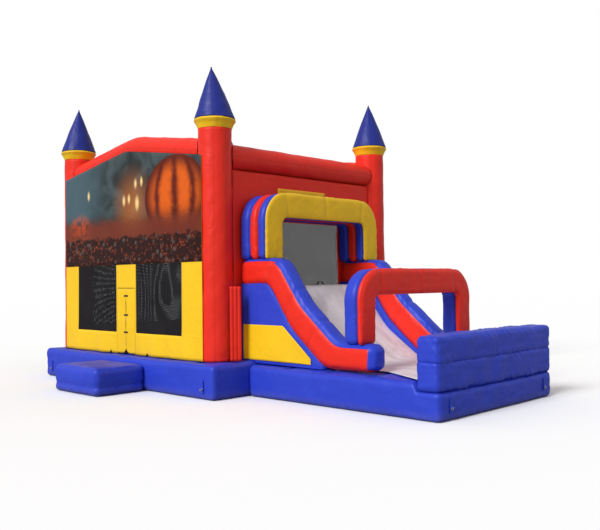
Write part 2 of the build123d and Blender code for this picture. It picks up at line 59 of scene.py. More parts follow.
forward = Vector((
    -math.sin(CAMERA_YAW) * math.cos(CAMERA_PITCH),
    math.cos(CAMERA_YAW) * math.cos(CAMERA_PITCH),
    math.sin(CAMERA_PITCH),
))
level = Vector((math.cos(CAMERA_YAW), math.sin(CAMERA_YAW), 0))
upright = level.cross(forward)
camera_right = math.cos(CAMERA_ROLL) * level + math.sin(CAMERA_ROLL) * upright
camera_up = math.cos(CAMERA_ROLL) * upright - math.sin(CAMERA_ROLL) * level
camera_data = bpy.data.cameras.new("camera")
camera_data.sensor_width = 36
camera_data.lens = 45.70
camera_data.clip_end = 200
camera = bpy.data.objects.new("camera", camera_data)
turn = Matrix((camera_right, camera_up, -forward)).transposed()
camera.matrix_world = Matrix.Translation(CAMERA_PLACE) @ turn.to_4x4()
bpy.context.scene.collection.objects.link(camera)
bpy.context.scene.camera = camera
bpy.context.scene.view_settings.view_transform = "Standard"


# Floor and light: a plain white floor that runs out of sight, an even white sky, and one large
# soft lamp high up before the entrance, so that this side is bright and the slide's end is in shade.
def grid_quads(rows, columns, around=False):
    """The quads of a grid of points, row after row; around also joins the last column to the first."""
    row = np.arange(rows - 1)[:, None]
    column = np.arange(columns if around else columns - 1)[None, :]
    beside = (column + 1) % columns
    corners = (row * columns + column, row * columns + beside)
    corners = corners + ((row + 1) * columns + beside, (row + 1) * columns + column)
    return np.stack(corners, axis=-1).reshape(-1, 4)


def new_object(name, points, faces, material, smooth=True):
    """A mesh object at the origin, from numpy points and a list of faces."""
    mesh = bpy.data.meshes.new(name)
    mesh.from_pydata(points.tolist(), [], faces)
    mesh.polygons.foreach_set("use_smooth", [smooth] * len(mesh.polygons))
    mesh.materials.append(material)
    item = bpy.data.objects.new(name, mesh)
    bpy.context.scene.collection.objects.link(item)
    return item


def plain_finish(name, colour, roughness, metallic=0.0):
    """A material and its Principled shader, with the values that are the same all over."""
    material = bpy.data.materials.new(name)
    material.use_nodes = True
    shader = material.node_tree.nodes["Principled BSDF"]
    shader.inputs["Base Color"].default_value = (*colour, 1)
    shader.inputs["Roughness"].default_value = roughness
    shader.inputs["Metallic"].default_value = metallic
    return material, shader


FLOOR_REACH = 60
floor_points = np.array([(x, y, 0) for x in (-FLOOR_REACH, FLOOR_REACH) for y in (-FLOOR_REACH, FLOOR_REACH)])
floor_material, floor_shader = plain_finish("floor_white", (0.92, 0.92, 0.92), 0.9)
floor_shader.inputs["Specular IOR Level"].default_value = 0.0


def seen_or_not(tree, socket, seen, unseen):
    """Gives a colour socket one grey for what the camera sees and another for the light it sends on."""
    path = tree.nodes.new("ShaderNodeLightPath")
    grey = tree.nodes.new("ShaderNodeMix")
    grey.data_type = "RGBA"
    grey.inputs[6].default_value = (unseen, unseen, unseen, 1)
    grey.inputs[7].default_value = (seen, seen, seen, 1)
    tree.links.new(path.outputs["Is Camera Ray"], grey.inputs[0])
    tree.links.new(grey.outputs[2], socket)


seen_or_not(floor_material.node_tree, floor_shader.inputs["Base Color"], 1.0, 0.35)
floor = new_object("floor", floor_points, [(0, 2, 3, 1)], floor_material)

sky = bpy.data.worlds.new("sky")
sky.use_nodes = True
seen_or_not(sky.node_tree, sky.node_tree.nodes["Background"].inputs["Color"], 1.0, 0.52)
bpy.context.scene.world = sky
lamp_data = bpy.data.lights.new("lamp", "SUN")
lamp_data.energy = 2.6
lamp_data.angle = math.radians(25)
lamp = bpy.data.objects.new("lamp", lamp_data)
LAMP_FROM = Vector((0.4, -8.0, 5.6))
lamp.rotation_mode = "QUATERNION"
lamp.rotation_quaternion = (-LAMP_FROM).to_track_quat("-Z", "Y")
bpy.context.scene.collection.objects.link(lamp)


# Base of the house: one big mattress of blue coated fabric, blown up tight over inner webs.
# Its top and side panels are sewn along the edges, where the cloth puckers, and it stands flat.
def linear(red, green, blue):
    """A screen colour, each part from 0 to 255, as the linear values that shaders use."""
    share = np.array((red, green, blue)) / 255
    return tuple(np.where(share <= 0.04045, share / 12.92, ((share + 0.055) / 1.055) ** 2.4))


def calc(tree, operation, *values, limit=False):
    """A math node on sockets or numbers; its result is the value that it returns."""
    node = tree.nodes.new("ShaderNodeMath")
    node.operation = operation
    node.use_clamp = limit
    for socket, value in zip(node.inputs, values):
        if isinstance(value, (int, float)):
            socket.default_value = value
        else:
            tree.links.new(value, socket)
    return node.outputs[0]


def step_between(tree, value, start, end):
    """A smooth step: 0 where value is at start, 1 where it is at end."""
    node = tree.nodes.new("ShaderNodeMapRange")
    node.interpolation_type = "SMOOTHSTEP"
    tree.links.new(value, node.inputs["Value"])
    node.inputs["From Min"].default_value = start
    node.inputs["From Max"].default_value = end
    return node.outputs[0]


def mixed(tree, share, first, second):
    """Two colours mixed by share: the first at 0 and the second at 1."""
    node = tree.nodes.new("ShaderNodeMix")
    node.data_type = "RGBA"
    tree.links.new(share, node.inputs[0])
    for socket, colour in ((node.inputs[6], first), (node.inputs[7], second)):
        if isinstance(colour, tuple):
            socket.default_value = (*colour, 1)
        else:
            tree.links.new(colour, socket)
    return node.outputs[2]


def noise(tree, place, scale, detail=3.0, distortion=0.0):
    """Noise of that scale, read at place."""
    node = tree.nodes.new("ShaderNodeTexNoise")
    tree.links.new(place, node.inputs["Vector"])
    node.inputs["Scale"].default_value = scale
    node.inputs["Detail"].default_value = detail
    node.inputs["Distortion"].default_value = distortion
    return node.outputs["Fac"]


def scaled(tree, value, share, start):
    """A value times a share, plus a start."""
    return calc(tree, "ADD", calc(tree, "MULTIPLY", value, share), start)


def bumped(tree, shader, height, distance, strength=1.0):
    """Tilts a shader's normal by a height, of which one stands for that many metres."""
    bump = tree.nodes.new("ShaderNodeBump")
    bump.inputs["Distance"].default_value = distance
    bump.inputs["Strength"].default_value = strength
    tree.links.new(height, bump.inputs["Height"])
    tree.links.new(bump.outputs[0], shader.inputs["Normal"])


def object_place(tree):
    """Where a point is on the house, in metres."""
    return tree.nodes.new("ShaderNodeTexCoord").outputs["Object"]


def sockets(tree, inputs, outputs):
    """Named inputs and outputs for a node group, and its two end nodes."""
    for name, kind in inputs:
        tree.interface.new_socket(name, in_out="INPUT", socket_type=kind)
    for name, kind in outputs:
        tree.interface.new_socket(name, in_out="OUTPUT", socket_type=kind)
    return tree.nodes.new("NodeGroupInput"), tree.nodes.new("NodeGroupOutput")


coated = bpy.data.node_groups.new("coated_fabric", "ShaderNodeTree")
coated_in, coated_out = sockets(
    coated,
    [("Color", "NodeSocketColor"), ("Crumple", "NodeSocketFloat")],
    [("Color", "NodeSocketColor"), ("Roughness", "NodeSocketFloat"), ("Height", "NodeSocketFloat")],
)
place = object_place(coated)
parts_of_place = coated.nodes.new("ShaderNodeSeparateXYZ")
coated.links.new(place, parts_of_place.inputs[0])
faded = noise(coated, place, 1.1, 4)
mottled = noise(coated, place, 17, 4)
lightness = scaled(coated, faded, 0.20, calc(coated, "MULTIPLY", mottled, 0.10))
tone = coated.nodes.new("ShaderNodeHueSaturation")
coated.links.new(coated_in.outputs["Color"], tone.inputs["Color"])
coated.links.new(calc(coated, "ADD", lightness, 0.86), tone.inputs["Value"])
seam = coated.nodes.new("ShaderNodeAttribute")
seam.attribute_name = "seam_distance"
on_seam = step_between(coated, seam.outputs["Fac"], 0.010, 0.003)
hem = step_between(coated, seam.outputs["Fac"], 0.028, 0.024)
darkened = mixed(coated, calc(coated, "MULTIPLY", on_seam, 0.20), tone.outputs[0], (0.01, 0.01, 0.015))
near_ground = step_between(coated, parts_of_place.outputs["Z"], 0.14, 0.0)
dust = calc(coated, "MULTIPLY", near_ground, calc(coated, "MULTIPLY", mottled, 0.28))
coated.links.new(mixed(coated, dust, darkened, linear(150, 140, 125)), coated_out.inputs["Color"])
gloss = scaled(coated, noise(coated, place, 6, 3), 0.24, 0.30)
coated.links.new(gloss, coated_out.inputs["Roughness"])
crumple = calc(coated, "ABSOLUTE", calc(coated, "SUBTRACT", noise(coated, place, 3.2, 3, 0.9), 0.5))
crumple = calc(coated, "MULTIPLY", crumple, coated_in.outputs["Crumple"])
scrim = calc(coated, "MULTIPLY", noise(coated, place, 420, 1), 0.012)
raised = calc(coated, "ADD", calc(coated, "MULTIPLY", hem, 0.05), scrim)
coated.links.new(calc(coated, "ADD", crumple, raised), coated_out.inputs["Height"])


def coated_fabric(name, colour, crumpled=1.0):
    """Glossy coated fabric of one colour, with soft fading, dust at the foot, sewn seams and a fine scrim."""
    material, shader = plain_finish(name, colour, 0.4)
    shader.inputs["Specular IOR Level"].default_value = 0.28
    tree = material.node_tree
    cloth = tree.nodes.new("ShaderNodeGroup")
    cloth.node_tree = coated
    cloth.inputs["Color"].default_value = (*colour, 1)
    cloth.inputs["Crumple"].default_value = crumpled
    tree.links.new(cloth.outputs["Color"], shader.inputs["Base Color"])
    tree.links.new(cloth.outputs["Roughness"], shader.inputs["Roughness"])
    bumped(tree, shader, cloth.outputs["Height"], 0.03, 0.55)
    return material


blue_vinyl = coated_fabric("blue_coated_fabric", (0.026, 0.055, 0.55))
WAVES = 9
SEAM_REACH = 0.07
PUCKER_PITCH = 0.13


def folds(points, length, seed):
    """Soft random folds, mostly from -1 to 1: the sum of sine waves about that long in set directions,
    each bent sideways by a slower wave, and scaled by the square root of how many there are."""
    draw = np.random.default_rng(seed)
    total = np.zeros(len(points))
    for _ in range(WAVES):
        heading = draw.normal(size=3)
        heading /= np.linalg.norm(heading)
        sideways = draw.normal(size=3) / length / 2
        phase = draw.uniform(0, 2 * math.pi)
        pitch = length * draw.uniform(0.7, 1.5)
        bend = 1.3 * np.sin(points @ sideways + phase)
        total += np.sin(2 * math.pi * (points @ heading) / pitch + bend + phase)
    return total * math.sqrt(2 / WAVES) / 2


def puckers(distance, along, reach=SEAM_REACH, pitch=PUCKER_PITCH):
    """Short gathers beside a seam, mostly from -1 to 1: two sines along it with a wandering pitch, stronger
    in some places than in others, which die away as a bell curve with distance from the seam."""
    wander = 1.9 * np.sin(2.3 * along) + 1.3 * np.sin(5.9 * along + 1.0)
    strength = 0.5 + 0.5 * np.sin(3.1 * along + 1.5 * np.sin(1.3 * along))
    waves = np.sin(2 * math.pi * along / pitch + wander) + 0.7 * np.sin(2 * math.pi * along / pitch / 1.73 + 2 * wander)
    return 0.6 * np.exp(-((distance / reach) ** 2)) * strength * waves


def outward(points, quads):
    """Each point's unit normal: the sum of the cross products of its faces' diagonals, made one long."""
    across = np.cross(points[quads[:, 2]] - points[quads[:, 0]], points[quads[:, 3]] - points[quads[:, 1]])
    total = np.zeros_like(points)
    for corner in range(4):
        np.add.at(total, quads[:, corner], across)
    return total / np.maximum(np.linalg.norm(total, axis=1, keepdims=True), 1e-12)


def facing_out(points, quads):
    """The quads, turned round if the closed surface they make would have a negative volume."""
    a, b, c, d = (points[quads[:, k]] for k in range(4))
    volume = (a * np.cross(b, c)).sum() + (a * np.cross(c, d)).sum()
    return quads if volume > 0 else quads[:, ::-1]


def as_faces(quads):
    """Quads as a face list, with those whose neighbouring corners are one point made triangles."""
    faces = []
    for quad in quads.tolist():
        face = [corner for k, corner in enumerate(quad) if corner != quad[k - 1]]
        if len(set(face)) > 2:
            faces.append(face)
    return faces


def joined(points, quads):
    """The same surface with points that lie in one place made one."""
    _, first, where = np.unique(np.round(points, 6), axis=0, return_index=True, return_inverse=True)
    return points[first], where.reshape(-1)[quads], first


FAR_FROM_SEAM = 1.0


def closed_piece(name, points, quads, material, distance=None):
    """A closed surface as an object that holds how far each point is from the nearest seam, in metres.
    Where no distance is given, every point counts as far from one."""
    piece = new_object(name, points, as_faces(facing_out(points, quads)), material)
    if distance is None:
        distance = np.full(len(points), FAR_FROM_SEAM)
    attribute = piece.data.attributes.new("seam_distance", "FLOAT", "POINT")
    attribute.data.foreach_set("value", distance.astype(np.float32))
    return piece


def fit_piece(name, points, quads, material, slot, nodes, body="root", distance=None):
    """Puts a finished closed surface on its body, in place of its CAD nodes."""
    piece = closed_piece(name, points, quads, material, distance)
    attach(piece, body)
    if nodes:
        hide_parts(*nodes)
    return piece


def grid_lines(low, high, spacing, marks=()):
    """Places from low to high, about spacing apart, with one on each mark."""
    stops = [low, *sorted(mark for mark in marks if low < mark < high), high]
    runs = [
        np.linspace(start, end, max(1, round((end - start) / spacing)), endpoint=False)
        for start, end in zip(stops, stops[1:])
    ]
    return np.concatenate([*runs, [high]])


def box_surface(lines):
    """The six faces of a box, each a grid on the given X, Y and Z lines, joined at the edges."""
    points, quads, count = [], [], 0
    for axis in range(3):
        u, v = (axis + 1) % 3, (axis + 2) % 3
        for end in (0, -1):
            grid = np.zeros((len(lines[u]), len(lines[v]), 3))
            grid[..., axis] = lines[axis][end]
            grid[..., u] = lines[u][:, None]
            grid[..., v] = lines[v][None, :]
            face = grid_quads(len(lines[u]), len(lines[v]))[:, :: 1 if end else -1]
            points.append(grid.reshape(-1, 3))
            quads.append(face + count)
            count += len(points[-1])
    points, quads, _ = joined(np.concatenate(points), np.concatenate(quads))
    return points, quads


def inflated_block(low, high, rounding, spacing, seams=(), swell=0.02, depth=0.006, seed=1, flat_foot=True):
    """A blown-up block. Each point of a box is drawn onto a ball of the rounding's radius about the
    nearest point of a smaller box inside it. Faces then swell as one minus the fourth power of how far
    out a point is, seams, each an (axis, place) pair, pull in as a bell curve, and folds and puckers
    are added along the normals. The underside stays flat."""
    low, high = np.array(low, float), np.array(high, float)
    marks = [[place for axis, place in seams if axis == k] for k in range(3)]
    lines = [grid_lines(low[k], high[k], spacing, marks[k]) for k in range(3)]
    box, quads = box_surface(lines)
    away = np.minimum(box - low, high - box)
    edge = np.sort(away, axis=1)[:, 1]
    inner = np.clip(box, low + rounding, high - rounding)
    heading = box - inner
    heading /= np.linalg.norm(heading, axis=1, keepdims=True)
    points = inner + rounding * heading
    half = (high - low) / 2
    out = np.clip((box - low - half) / half, -1, 1)
    full = 1 - out**4
    push = np.zeros(len(points))
    for axis in range(3):
        push += np.abs(heading[:, axis]) * full[:, (axis + 1) % 3] * full[:, (axis + 2) % 3] * swell
    along = box.sum(axis=1)
    distance = edge.copy()
    push += depth * puckers(edge, along)
    held = np.clip(heading[:, 2], 0.12, 1) ** 2 if flat_foot else np.ones(len(points))
    for axis, where in seams:
        off = np.abs(box[:, axis] - where)
        drawn = held if axis < 2 else 1
        push -= 0.8 * swell * drawn * np.exp(-((off / 0.035) ** 2))
        push += 0.7 * depth * drawn * puckers(off, along)
        distance = np.minimum(distance, off + 0.02 * (1 - drawn))
    push += depth * folds(points, 0.45, seed) + 0.45 * depth * folds(points * (0.35, 0.35, 1.3), 0.12, seed + 50)
    if flat_foot:
        push *= np.clip((heading[:, 2] + 0.8) * 3, 0, 1)
    points = points + push[:, None] * heading
    points[:, 2] = np.maximum(points[:, 2], low[2])
    return points, quads, distance


BASE_ROUND = 0.058
BASE_SWELL = 0.016
low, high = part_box("bounce_floor")
inset = Vector((BASE_SWELL, BASE_SWELL, 0))
top_inset = inset + Vector((0, 0, 0.012))
floor_seams = [(0, (k - 2) * 0.9) for k in range(5)] + [(1, (k - 1.5) * 1.1) for k in range(4)]
points, quads, distance = inflated_block(low + inset, high - top_inset, BASE_ROUND, 0.034, floor_seams, BASE_SWELL, seed=3)
base = fit_piece("house_base", points, quads, blue_vinyl, "blue_vinyl", ["bounce_floor", "floor_webs"], distance=distance)

# Entrance step: a small blue mattress in front of the door, with a seam round it about a hand's
# length above the ground, and a little domed on top where people climb in.
STEP_SEAM = 0.137
low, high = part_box("entrance_step")
points, quads, distance = inflated_block(
    low + Vector((0.012, 0.012, 0)), high - Vector((0.012, 0.004, 0.014)), 0.062, 0.024, [(2, STEP_SEAM)], 0.018, 0.005, 8
)
step = fit_piece("entrance_step_pad", points, quads, blue_vinyl, "blue_vinyl", ["entrance_step"], distance=distance)

# Base of the slide: a long blue mattress that joins the house's base, lower at its far end
# so that the bumper can stand across it.
BUMPER_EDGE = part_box("bumper_lower")[0]
low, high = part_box("slide_base")
points, quads, distance = inflated_block(
    low + Vector((0.004, 0.018, 0)), high - Vector((0.018, 0.018, 0.024)), BASE_ROUND, 0.032,
    [(0, low.x + 0.7 * k) for k in range(1, 5)], BASE_SWELL, 0.006, 13,
)
drop = 1 - BUMPER_EDGE.z / high.z
fall = np.clip((points[:, 0] - (BUMPER_EDGE.x - 0.04)) / 0.05, 0, 1)
points[:, 2] *= 1 - drop * fall * fall * (3 - 2 * fall)
slide_base = fit_piece("slide_base_pad", points, quads, blue_vinyl, "blue_vinyl", ["slide_base"], distance=distance)

# Bumper: two fat blue tubes, one on the other, across the end of the landing.
# They stop riders, and their sewn ends are flat and puckered.
PRESSED = 0.022
for number, node in enumerate(("bumper_lower", "bumper_upper")):
    low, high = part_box(node)
    points, quads, distance = inflated_block(
        low + Vector((0.010, 0.012, -PRESSED)), high - Vector((0.016, 0.012, 0.008 * number - PRESSED * (1 - number))),
        0.052, 0.022, (), 0.012, 0.008,
        21 + number, flat_foot=False,
    )
    tube = fit_piece(node + "_tube", points, quads, blue_vinyl, "blue_vinyl", [node], distance=distance)

# Corner towers: upright tubes of red coated fabric, each sewn from eight long panels and held
# round by the air. The cloth puckers where they are sewn to the base and to the collars.
red_vinyl = coated_fabric("red_coated_fabric", (0.84, 0.026, 0.012))
yellow_vinyl = coated_fabric("yellow_coated_fabric", (0.92, 0.56, 0.012))
TOWER_PANELS = 8
PANEL_COLUMNS = 9
corners = ("front_left", "front_right", "back_left", "back_right")


def turned_surface(centre, heights, radii, columns):
    """A surface turned about an upright line: at each height a circle of that radius.
    The first and last circles have no radius, so they close it."""
    angle = np.arange(columns) * 2 * math.pi / columns
    x = centre[0] + radii[:, None] * np.cos(angle)[None, :]
    y = centre[1] + radii[:, None] * np.sin(angle)[None, :]
    z = np.repeat(np.array(heights)[:, None], columns, axis=1)
    return np.stack((x, y, z), axis=-1), angle


def from_panel_seam(angle, panels):
    """How far round, in radians, each angle is from the nearest of that many evenly spaced seams."""
    share = angle * panels / (2 * math.pi)
    return np.abs(share - np.round(share)) * 2 * math.pi / panels


def closed_grid(points, around=True):
    """A grid of points as a closed surface, with its collapsed rows merged."""
    rows, columns, _ = points.shape
    return joined(points.reshape(-1, 3), grid_quads(rows, columns, around))


def middle_of(node):
    """The middle of a CAD node's box."""
    low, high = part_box(node)
    return (low + high) / 2


def radius_of(node):
    """Half the width of a CAD node's box along X, which is the radius of an upright round one."""
    low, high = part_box(node)
    return (high.x - low.x) / 2


for number, corner in enumerate(corners):
    low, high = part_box("tower_" + corner)
    centre, radius = middle_of("tower_" + corner), radius_of("tower_" + corner)
    heights = grid_lines(low.z, high.z, 0.035)
    heights = np.concatenate([[low.z] * 4, heights, [high.z] * 4])
    radii = np.full(len(heights), radius - 0.012)
    radii[:4] = radii[4] * np.arange(4) / 4
    radii[-4:] = radii[4] * np.arange(3, -1, -1) / 4
    grid, angle = turned_surface(centre, heights, radii, TOWER_PANELS * PANEL_COLUMNS)
    off_seam = np.repeat(from_panel_seam(angle, TOWER_PANELS)[None, :] * radius, len(heights), axis=0)
    off_end = np.repeat(np.minimum(heights - low.z, high.z - heights)[:, None], len(angle), axis=1)
    flat = grid.reshape(-1, 3)
    heading = flat - np.array((centre.x, centre.y, 0))
    heading[:, 2] = 0
    length = np.maximum(np.linalg.norm(heading, axis=1), 1e-9)
    heading /= length[:, None]
    push = 0.0035 * (1 - np.exp(-((off_seam.ravel() / 0.03) ** 2)))
    push += 0.007 * puckers(off_end.ravel(), np.tile(angle * radius, len(heights)), 0.09, 0.10)
    push += 0.004 * folds(flat, 0.55, 31 + number) + 0.002 * folds(flat, 0.2, 41 + number)
    flat = flat + (push * np.minimum(length / radius, 1))[:, None] * heading
    distance = np.minimum(off_seam, np.maximum(off_end, 0)).ravel()
    points, quads, kept = closed_grid(flat.reshape(grid.shape))
    tower = fit_piece("tower_tube_" + corner, points, quads, red_vinyl, "red_vinyl", ["tower_" + corner],
                      distance=distance[kept])

# Collars: a flared yellow ring at the top of each tower, with a rope-thin seam round its widest part.
# Spires: blue cones of eight gores on top of them, a little wrinkled at the foot, no two quite upright.
spire_vinyl = coated_fabric("spire_coated_fabric", (0.013, 0.024, 0.24))
COLLAR_ROUND = [(0.0, 0.80), (0.0, 0.96), (0.15, 1.0), (0.45, 1.07), (0.70, 1.16), (0.80, 1.20), (0.90, 1.19), (1.0, 1.13)]
SPIRE_GORES = 8
SPIRE_LEANS = {"front_left": (0.012, 0), "front_right": (-0.032, -0.030), "back_left": (0, 0.01), "back_right": (-0.02, 0.015)}
collar_low, collar_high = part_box("tower_collars")
WIDEST_SHARE = 0.8
collar_surfaces, collar_distances = [], []


def together(surfaces):
    """Several closed surfaces, each a pair of points and quads, as one pair: the points of all, and
    the quads of all, each turned to face out and counted on from the points before it."""
    firsts = np.cumsum([0] + [len(points) for points, _ in surfaces])
    quads = [facing_out(points, quads) + first for (points, quads), first in zip(surfaces, firsts)]
    return np.concatenate([points for points, _ in surfaces]), np.concatenate(quads)


for number, corner in enumerate(corners):
    centre = middle_of("tower_" + corner)
    tube_radius = radius_of("tower_" + corner)
    share, wide = np.array(COLLAR_ROUND).T
    fine = np.linspace(0, 1, 26)
    heights = collar_low.z + fine * (collar_high.z - collar_low.z)
    radii = np.interp(fine, share, wide) * tube_radius
    radii[1:-1] = (radii[:-2] + 2 * radii[1:-1] + radii[2:]) / 4
    radii[0] = tube_radius * 0.97
    heights = np.concatenate([[heights[0]] * 3, heights, [heights[-1]] * 3])
    radii = np.concatenate([radii[0] * np.arange(3) / 3, radii, radii[-1] * np.arange(2, -1, -1) / 3])
    grid, angle = turned_surface(centre, heights, radii, 96)
    flat = grid.reshape(-1, 3)
    heading = (flat - np.array(centre)) * (1, 1, 0)
    heading /= np.maximum(np.linalg.norm(heading, axis=1, keepdims=True), 1e-9)
    widest_z = collar_low.z + WIDEST_SHARE * (collar_high.z - collar_low.z)
    off_widest = np.abs(np.repeat(heights[:, None], len(angle), axis=1).ravel() - widest_z)
    along = np.tile(angle * tube_radius, len(heights))
    push = 0.004 * puckers(off_widest, along, 0.05, 0.075) + 0.003 * folds(flat, 0.16, 60 + number)
    inner = np.repeat(radii[:, None], len(angle), axis=1).ravel() / tube_radius
    flat = flat + (push * np.minimum(inner, 1))[:, None] * heading
    points, quads, kept = closed_grid(flat.reshape(grid.shape))
    collar_surfaces.append((points, quads))
    collar_distances.append(off_widest[kept])
collars = fit_piece(
    "collar_rings", *together(collar_surfaces), yellow_vinyl, "yellow_vinyl", ["tower_collars"],
    distance=np.concatenate(collar_distances),
)
for number, corner in enumerate(corners):
    low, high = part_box("spire_" + corner)
    centre, radius = middle_of("spire_" + corner), radius_of("spire_" + corner)
    share = np.linspace(0, 1, 40) ** 1.1
    full = (1 - share) ** 0.97 + 0.035 * np.sin(math.pi * share)
    radii = radius * full
    radii = np.concatenate([[0, radius * 0.5, radius * 0.9, radius * 0.99], radii[1:-1], [0.012, 0.0]])
    heights = np.concatenate([[0, 0, 0, 0.006], share[1:-1] * (high.z - low.z), [high.z - low.z - 0.006, high.z - low.z]])
    grid, angle = turned_surface(centre, heights + low.z, radii, 72)
    flat = grid.reshape(-1, 3)
    up = np.repeat(heights[:, None], len(angle), axis=1).ravel() / (high.z - low.z)
    heading = (flat - np.array(centre)) * (1, 1, 0)
    size = np.linalg.norm(heading, axis=1)
    heading /= np.maximum(size, 1e-9)[:, None]
    off_seam = np.tile(from_panel_seam(angle, SPIRE_GORES), len(heights)) * size
    off_foot = up * (high.z - low.z)
    push = -0.003 * np.exp(-((off_seam / 0.02) ** 2))
    push += 0.007 * puckers(off_foot, np.tile(angle * radius, len(heights)), 0.10, 0.085)
    push += 0.004 * folds(flat, 0.22, 70 + number)
    flat = flat + (push * np.minimum(size / 0.1, 1))[:, None] * heading
    lean_x, lean_y = SPIRE_LEANS[corner]
    flat = flat + np.stack((lean_x * up**1.5, lean_y * up**1.5, np.zeros(len(up))), axis=1)
    distance = np.minimum(off_seam, np.maximum(off_foot, 0))
    points, quads, kept = closed_grid(flat.reshape(grid.shape))
    spire = fit_piece("spire_cone_" + corner, points, quads, spire_vinyl, "spire_vinyl", ["spire_" + corner],
                      distance=distance[kept])

# Beams: fat red tubes that join the towers. The front and back ones rise to a ridge in the middle,
# the side ones are level, and each is sewn to the round side of a tower.
TOWER = middle_of("tower_back_right")
TOWER_RADIUS = radius_of("tower_back_right")
BEAM_RADIUS = radius_of("side_beam_right")
BEAM_COLUMNS = 64
BEAM_PANELS = 4
RIDGE_ROUND = 0.06
side_low, side_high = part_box("side_beam_right")
SIDE_BEAM_Z = (side_low.z + side_high.z) / 2
gable_low, gable_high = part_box("gable_beam_front")
RIDGE_Z = gable_high.z - BEAM_RADIUS * 1.014
GABLE_FOOT_Z = gable_low.z + BEAM_RADIUS * 0.97


def gable_line(x):
    """Height of the gable beams' centre line: a straight fall from the ridge to each tower, rounded at
    the ridge."""
    from_ridge = np.sqrt(np.asarray(x, float) ** 2 + RIDGE_ROUND**2) - RIDGE_ROUND
    return RIDGE_Z - (RIDGE_Z - GABLE_FOOT_Z) * from_ridge / (TOWER.x - RIDGE_ROUND)


def beam(name, along_x, across_centre, half_span, line, seed, node):
    """A tube between two towers. Each point of its round section runs out to the towers' round sides:
    as far as the towers' centres, less the root of the tower's radius squared minus its own offset squared."""
    angle = np.arange(BEAM_COLUMNS) * 2 * math.pi / BEAM_COLUMNS
    share = np.linspace(-1, 1, 96)
    wide = BEAM_RADIUS - 0.010
    closing = np.array([0.0, 0.35, 0.7, 0.9])
    rows = np.concatenate([[-1] * 4, share, [1] * 4])
    size = np.concatenate([closing, np.ones(len(share)), closing[::-1]])
    offset = wide * size[:, None] * np.cos(angle)[None, :]
    rise = wide * size[:, None] * np.sin(angle)[None, :]
    end = half_span - np.sqrt(TOWER_RADIUS**2 - offset**2) - 0.002
    run = rows[:, None] * end
    height = line(run) + rise
    across = across_centre + offset
    grid = np.stack((run, across, height) if along_x else (across, run, height), axis=-1)
    flat = grid.reshape(-1, 3)
    middle = np.stack((run, across_centre + 0 * run, line(run)) if along_x else
                      (across_centre + 0 * run, run, line(run)), axis=-1).reshape(-1, 3)
    heading = flat - middle
    far = np.linalg.norm(heading, axis=1)
    heading /= np.maximum(far, 1e-9)[:, None]
    off_end = (end - np.abs(run)).ravel()
    off_seam = np.tile(from_panel_seam(angle, BEAM_PANELS) * BEAM_RADIUS, len(rows))
    off_ridge = np.abs(run.ravel()) if along_x else np.ones(run.size)
    push = 0.006 * puckers(off_end, np.tile(angle * BEAM_RADIUS, len(rows)), 0.10, 0.10)
    push += 0.004 * folds(flat, 0.5, seed) + 0.002 * folds(flat, 0.19, seed + 1)
    push -= 0.004 * np.exp(-((off_seam / 0.03) ** 2)) + 0.006 * np.exp(-((off_ridge / 0.04) ** 2))
    flat = flat + (push * (far > wide * 0.95))[:, None] * heading
    distance = np.minimum(np.minimum(off_seam, np.maximum(off_end, 0)), off_ridge)
    points, quads, kept = closed_grid(flat.reshape(grid.shape))
    tube = fit_piece(name, points, quads, red_vinyl, "red_vinyl", [node], distance=distance[kept])


def level_line(run):
    """Height of the side beams' centre line: the same all along."""
    return SIDE_BEAM_Z + 0 * run


beam("gable_tube_front", True, -TOWER.y, TOWER.x, gable_line, 81, "gable_beam_front")
beam("gable_tube_back", True, TOWER.y, TOWER.x, gable_line, 83, "gable_beam_back")
beam("side_tube_left", False, -TOWER.x, TOWER.y, level_line, 85, "side_beam_left")
beam("side_tube_right", False, TOWER.x, TOWER.y, level_line, 87, "side_beam_right")


# Roof: one red sheet over the house, sewn along the beams, with a seam down its ridge.
# It hangs a little between them.
def thickened(points, quads, offset):
    """A sheet as a closed surface: the same sheet again at that offset, and a strip round every edge
    that only one face uses."""
    count = len(points)
    edges = np.concatenate([quads[:, [k, (k + 1) % 4]] for k in range(4)])
    key = np.sort(edges, axis=1)
    key = key[:, 0] * count + key[:, 1]
    _, first, times = np.unique(key, return_index=True, return_counts=True)
    rim = edges[first[times == 1]]
    strip = np.stack((rim[:, 1], rim[:, 0], rim[:, 0] + count, rim[:, 1] + count), axis=1)
    return np.concatenate((points, points + offset)), np.concatenate((quads, quads[:, ::-1] + count, strip))


def sheet_surface(across, upward, place, holes, offset):
    """A sheet on a grid of two sets of lines, put in place by a function of them, without the cells
    whose middle lies in a hole, and as thick as the offset is long."""
    a, b = np.meshgrid(across, upward, indexing="ij")
    points = place(a.ravel(), b.ravel())
    quads = grid_quads(len(across), len(upward))
    middle_a = a.ravel()[quads].mean(axis=1)
    middle_b = b.ravel()[quads].mean(axis=1)
    kept = np.ones(len(quads), bool)
    for a0, a1, b0, b1 in holes:
        kept &= ~((middle_a > a0) & (middle_a < a1) & (middle_b > b0) & (middle_b < b1))
    quads = quads[kept]
    used, quads = np.unique(quads, return_inverse=True)
    quads = quads.reshape(-1, 4)
    points, a, b = points[used], a.ravel()[used], b.ravel()[used]
    area = np.linalg.norm(np.cross(points[quads[:, 2]] - points[quads[:, 0]],
                                   points[quads[:, 3]] - points[quads[:, 1]]), axis=1).sum() / 2
    points, quads = thickened(points, quads, np.array(offset))
    return points, quads, float(area), np.tile(a, 2), np.tile(b, 2)


ROOF_THICK = 0.004
ROOF_SAG = 0.05
ROOF_TURN = 0.05
low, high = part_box("roof_sheet")


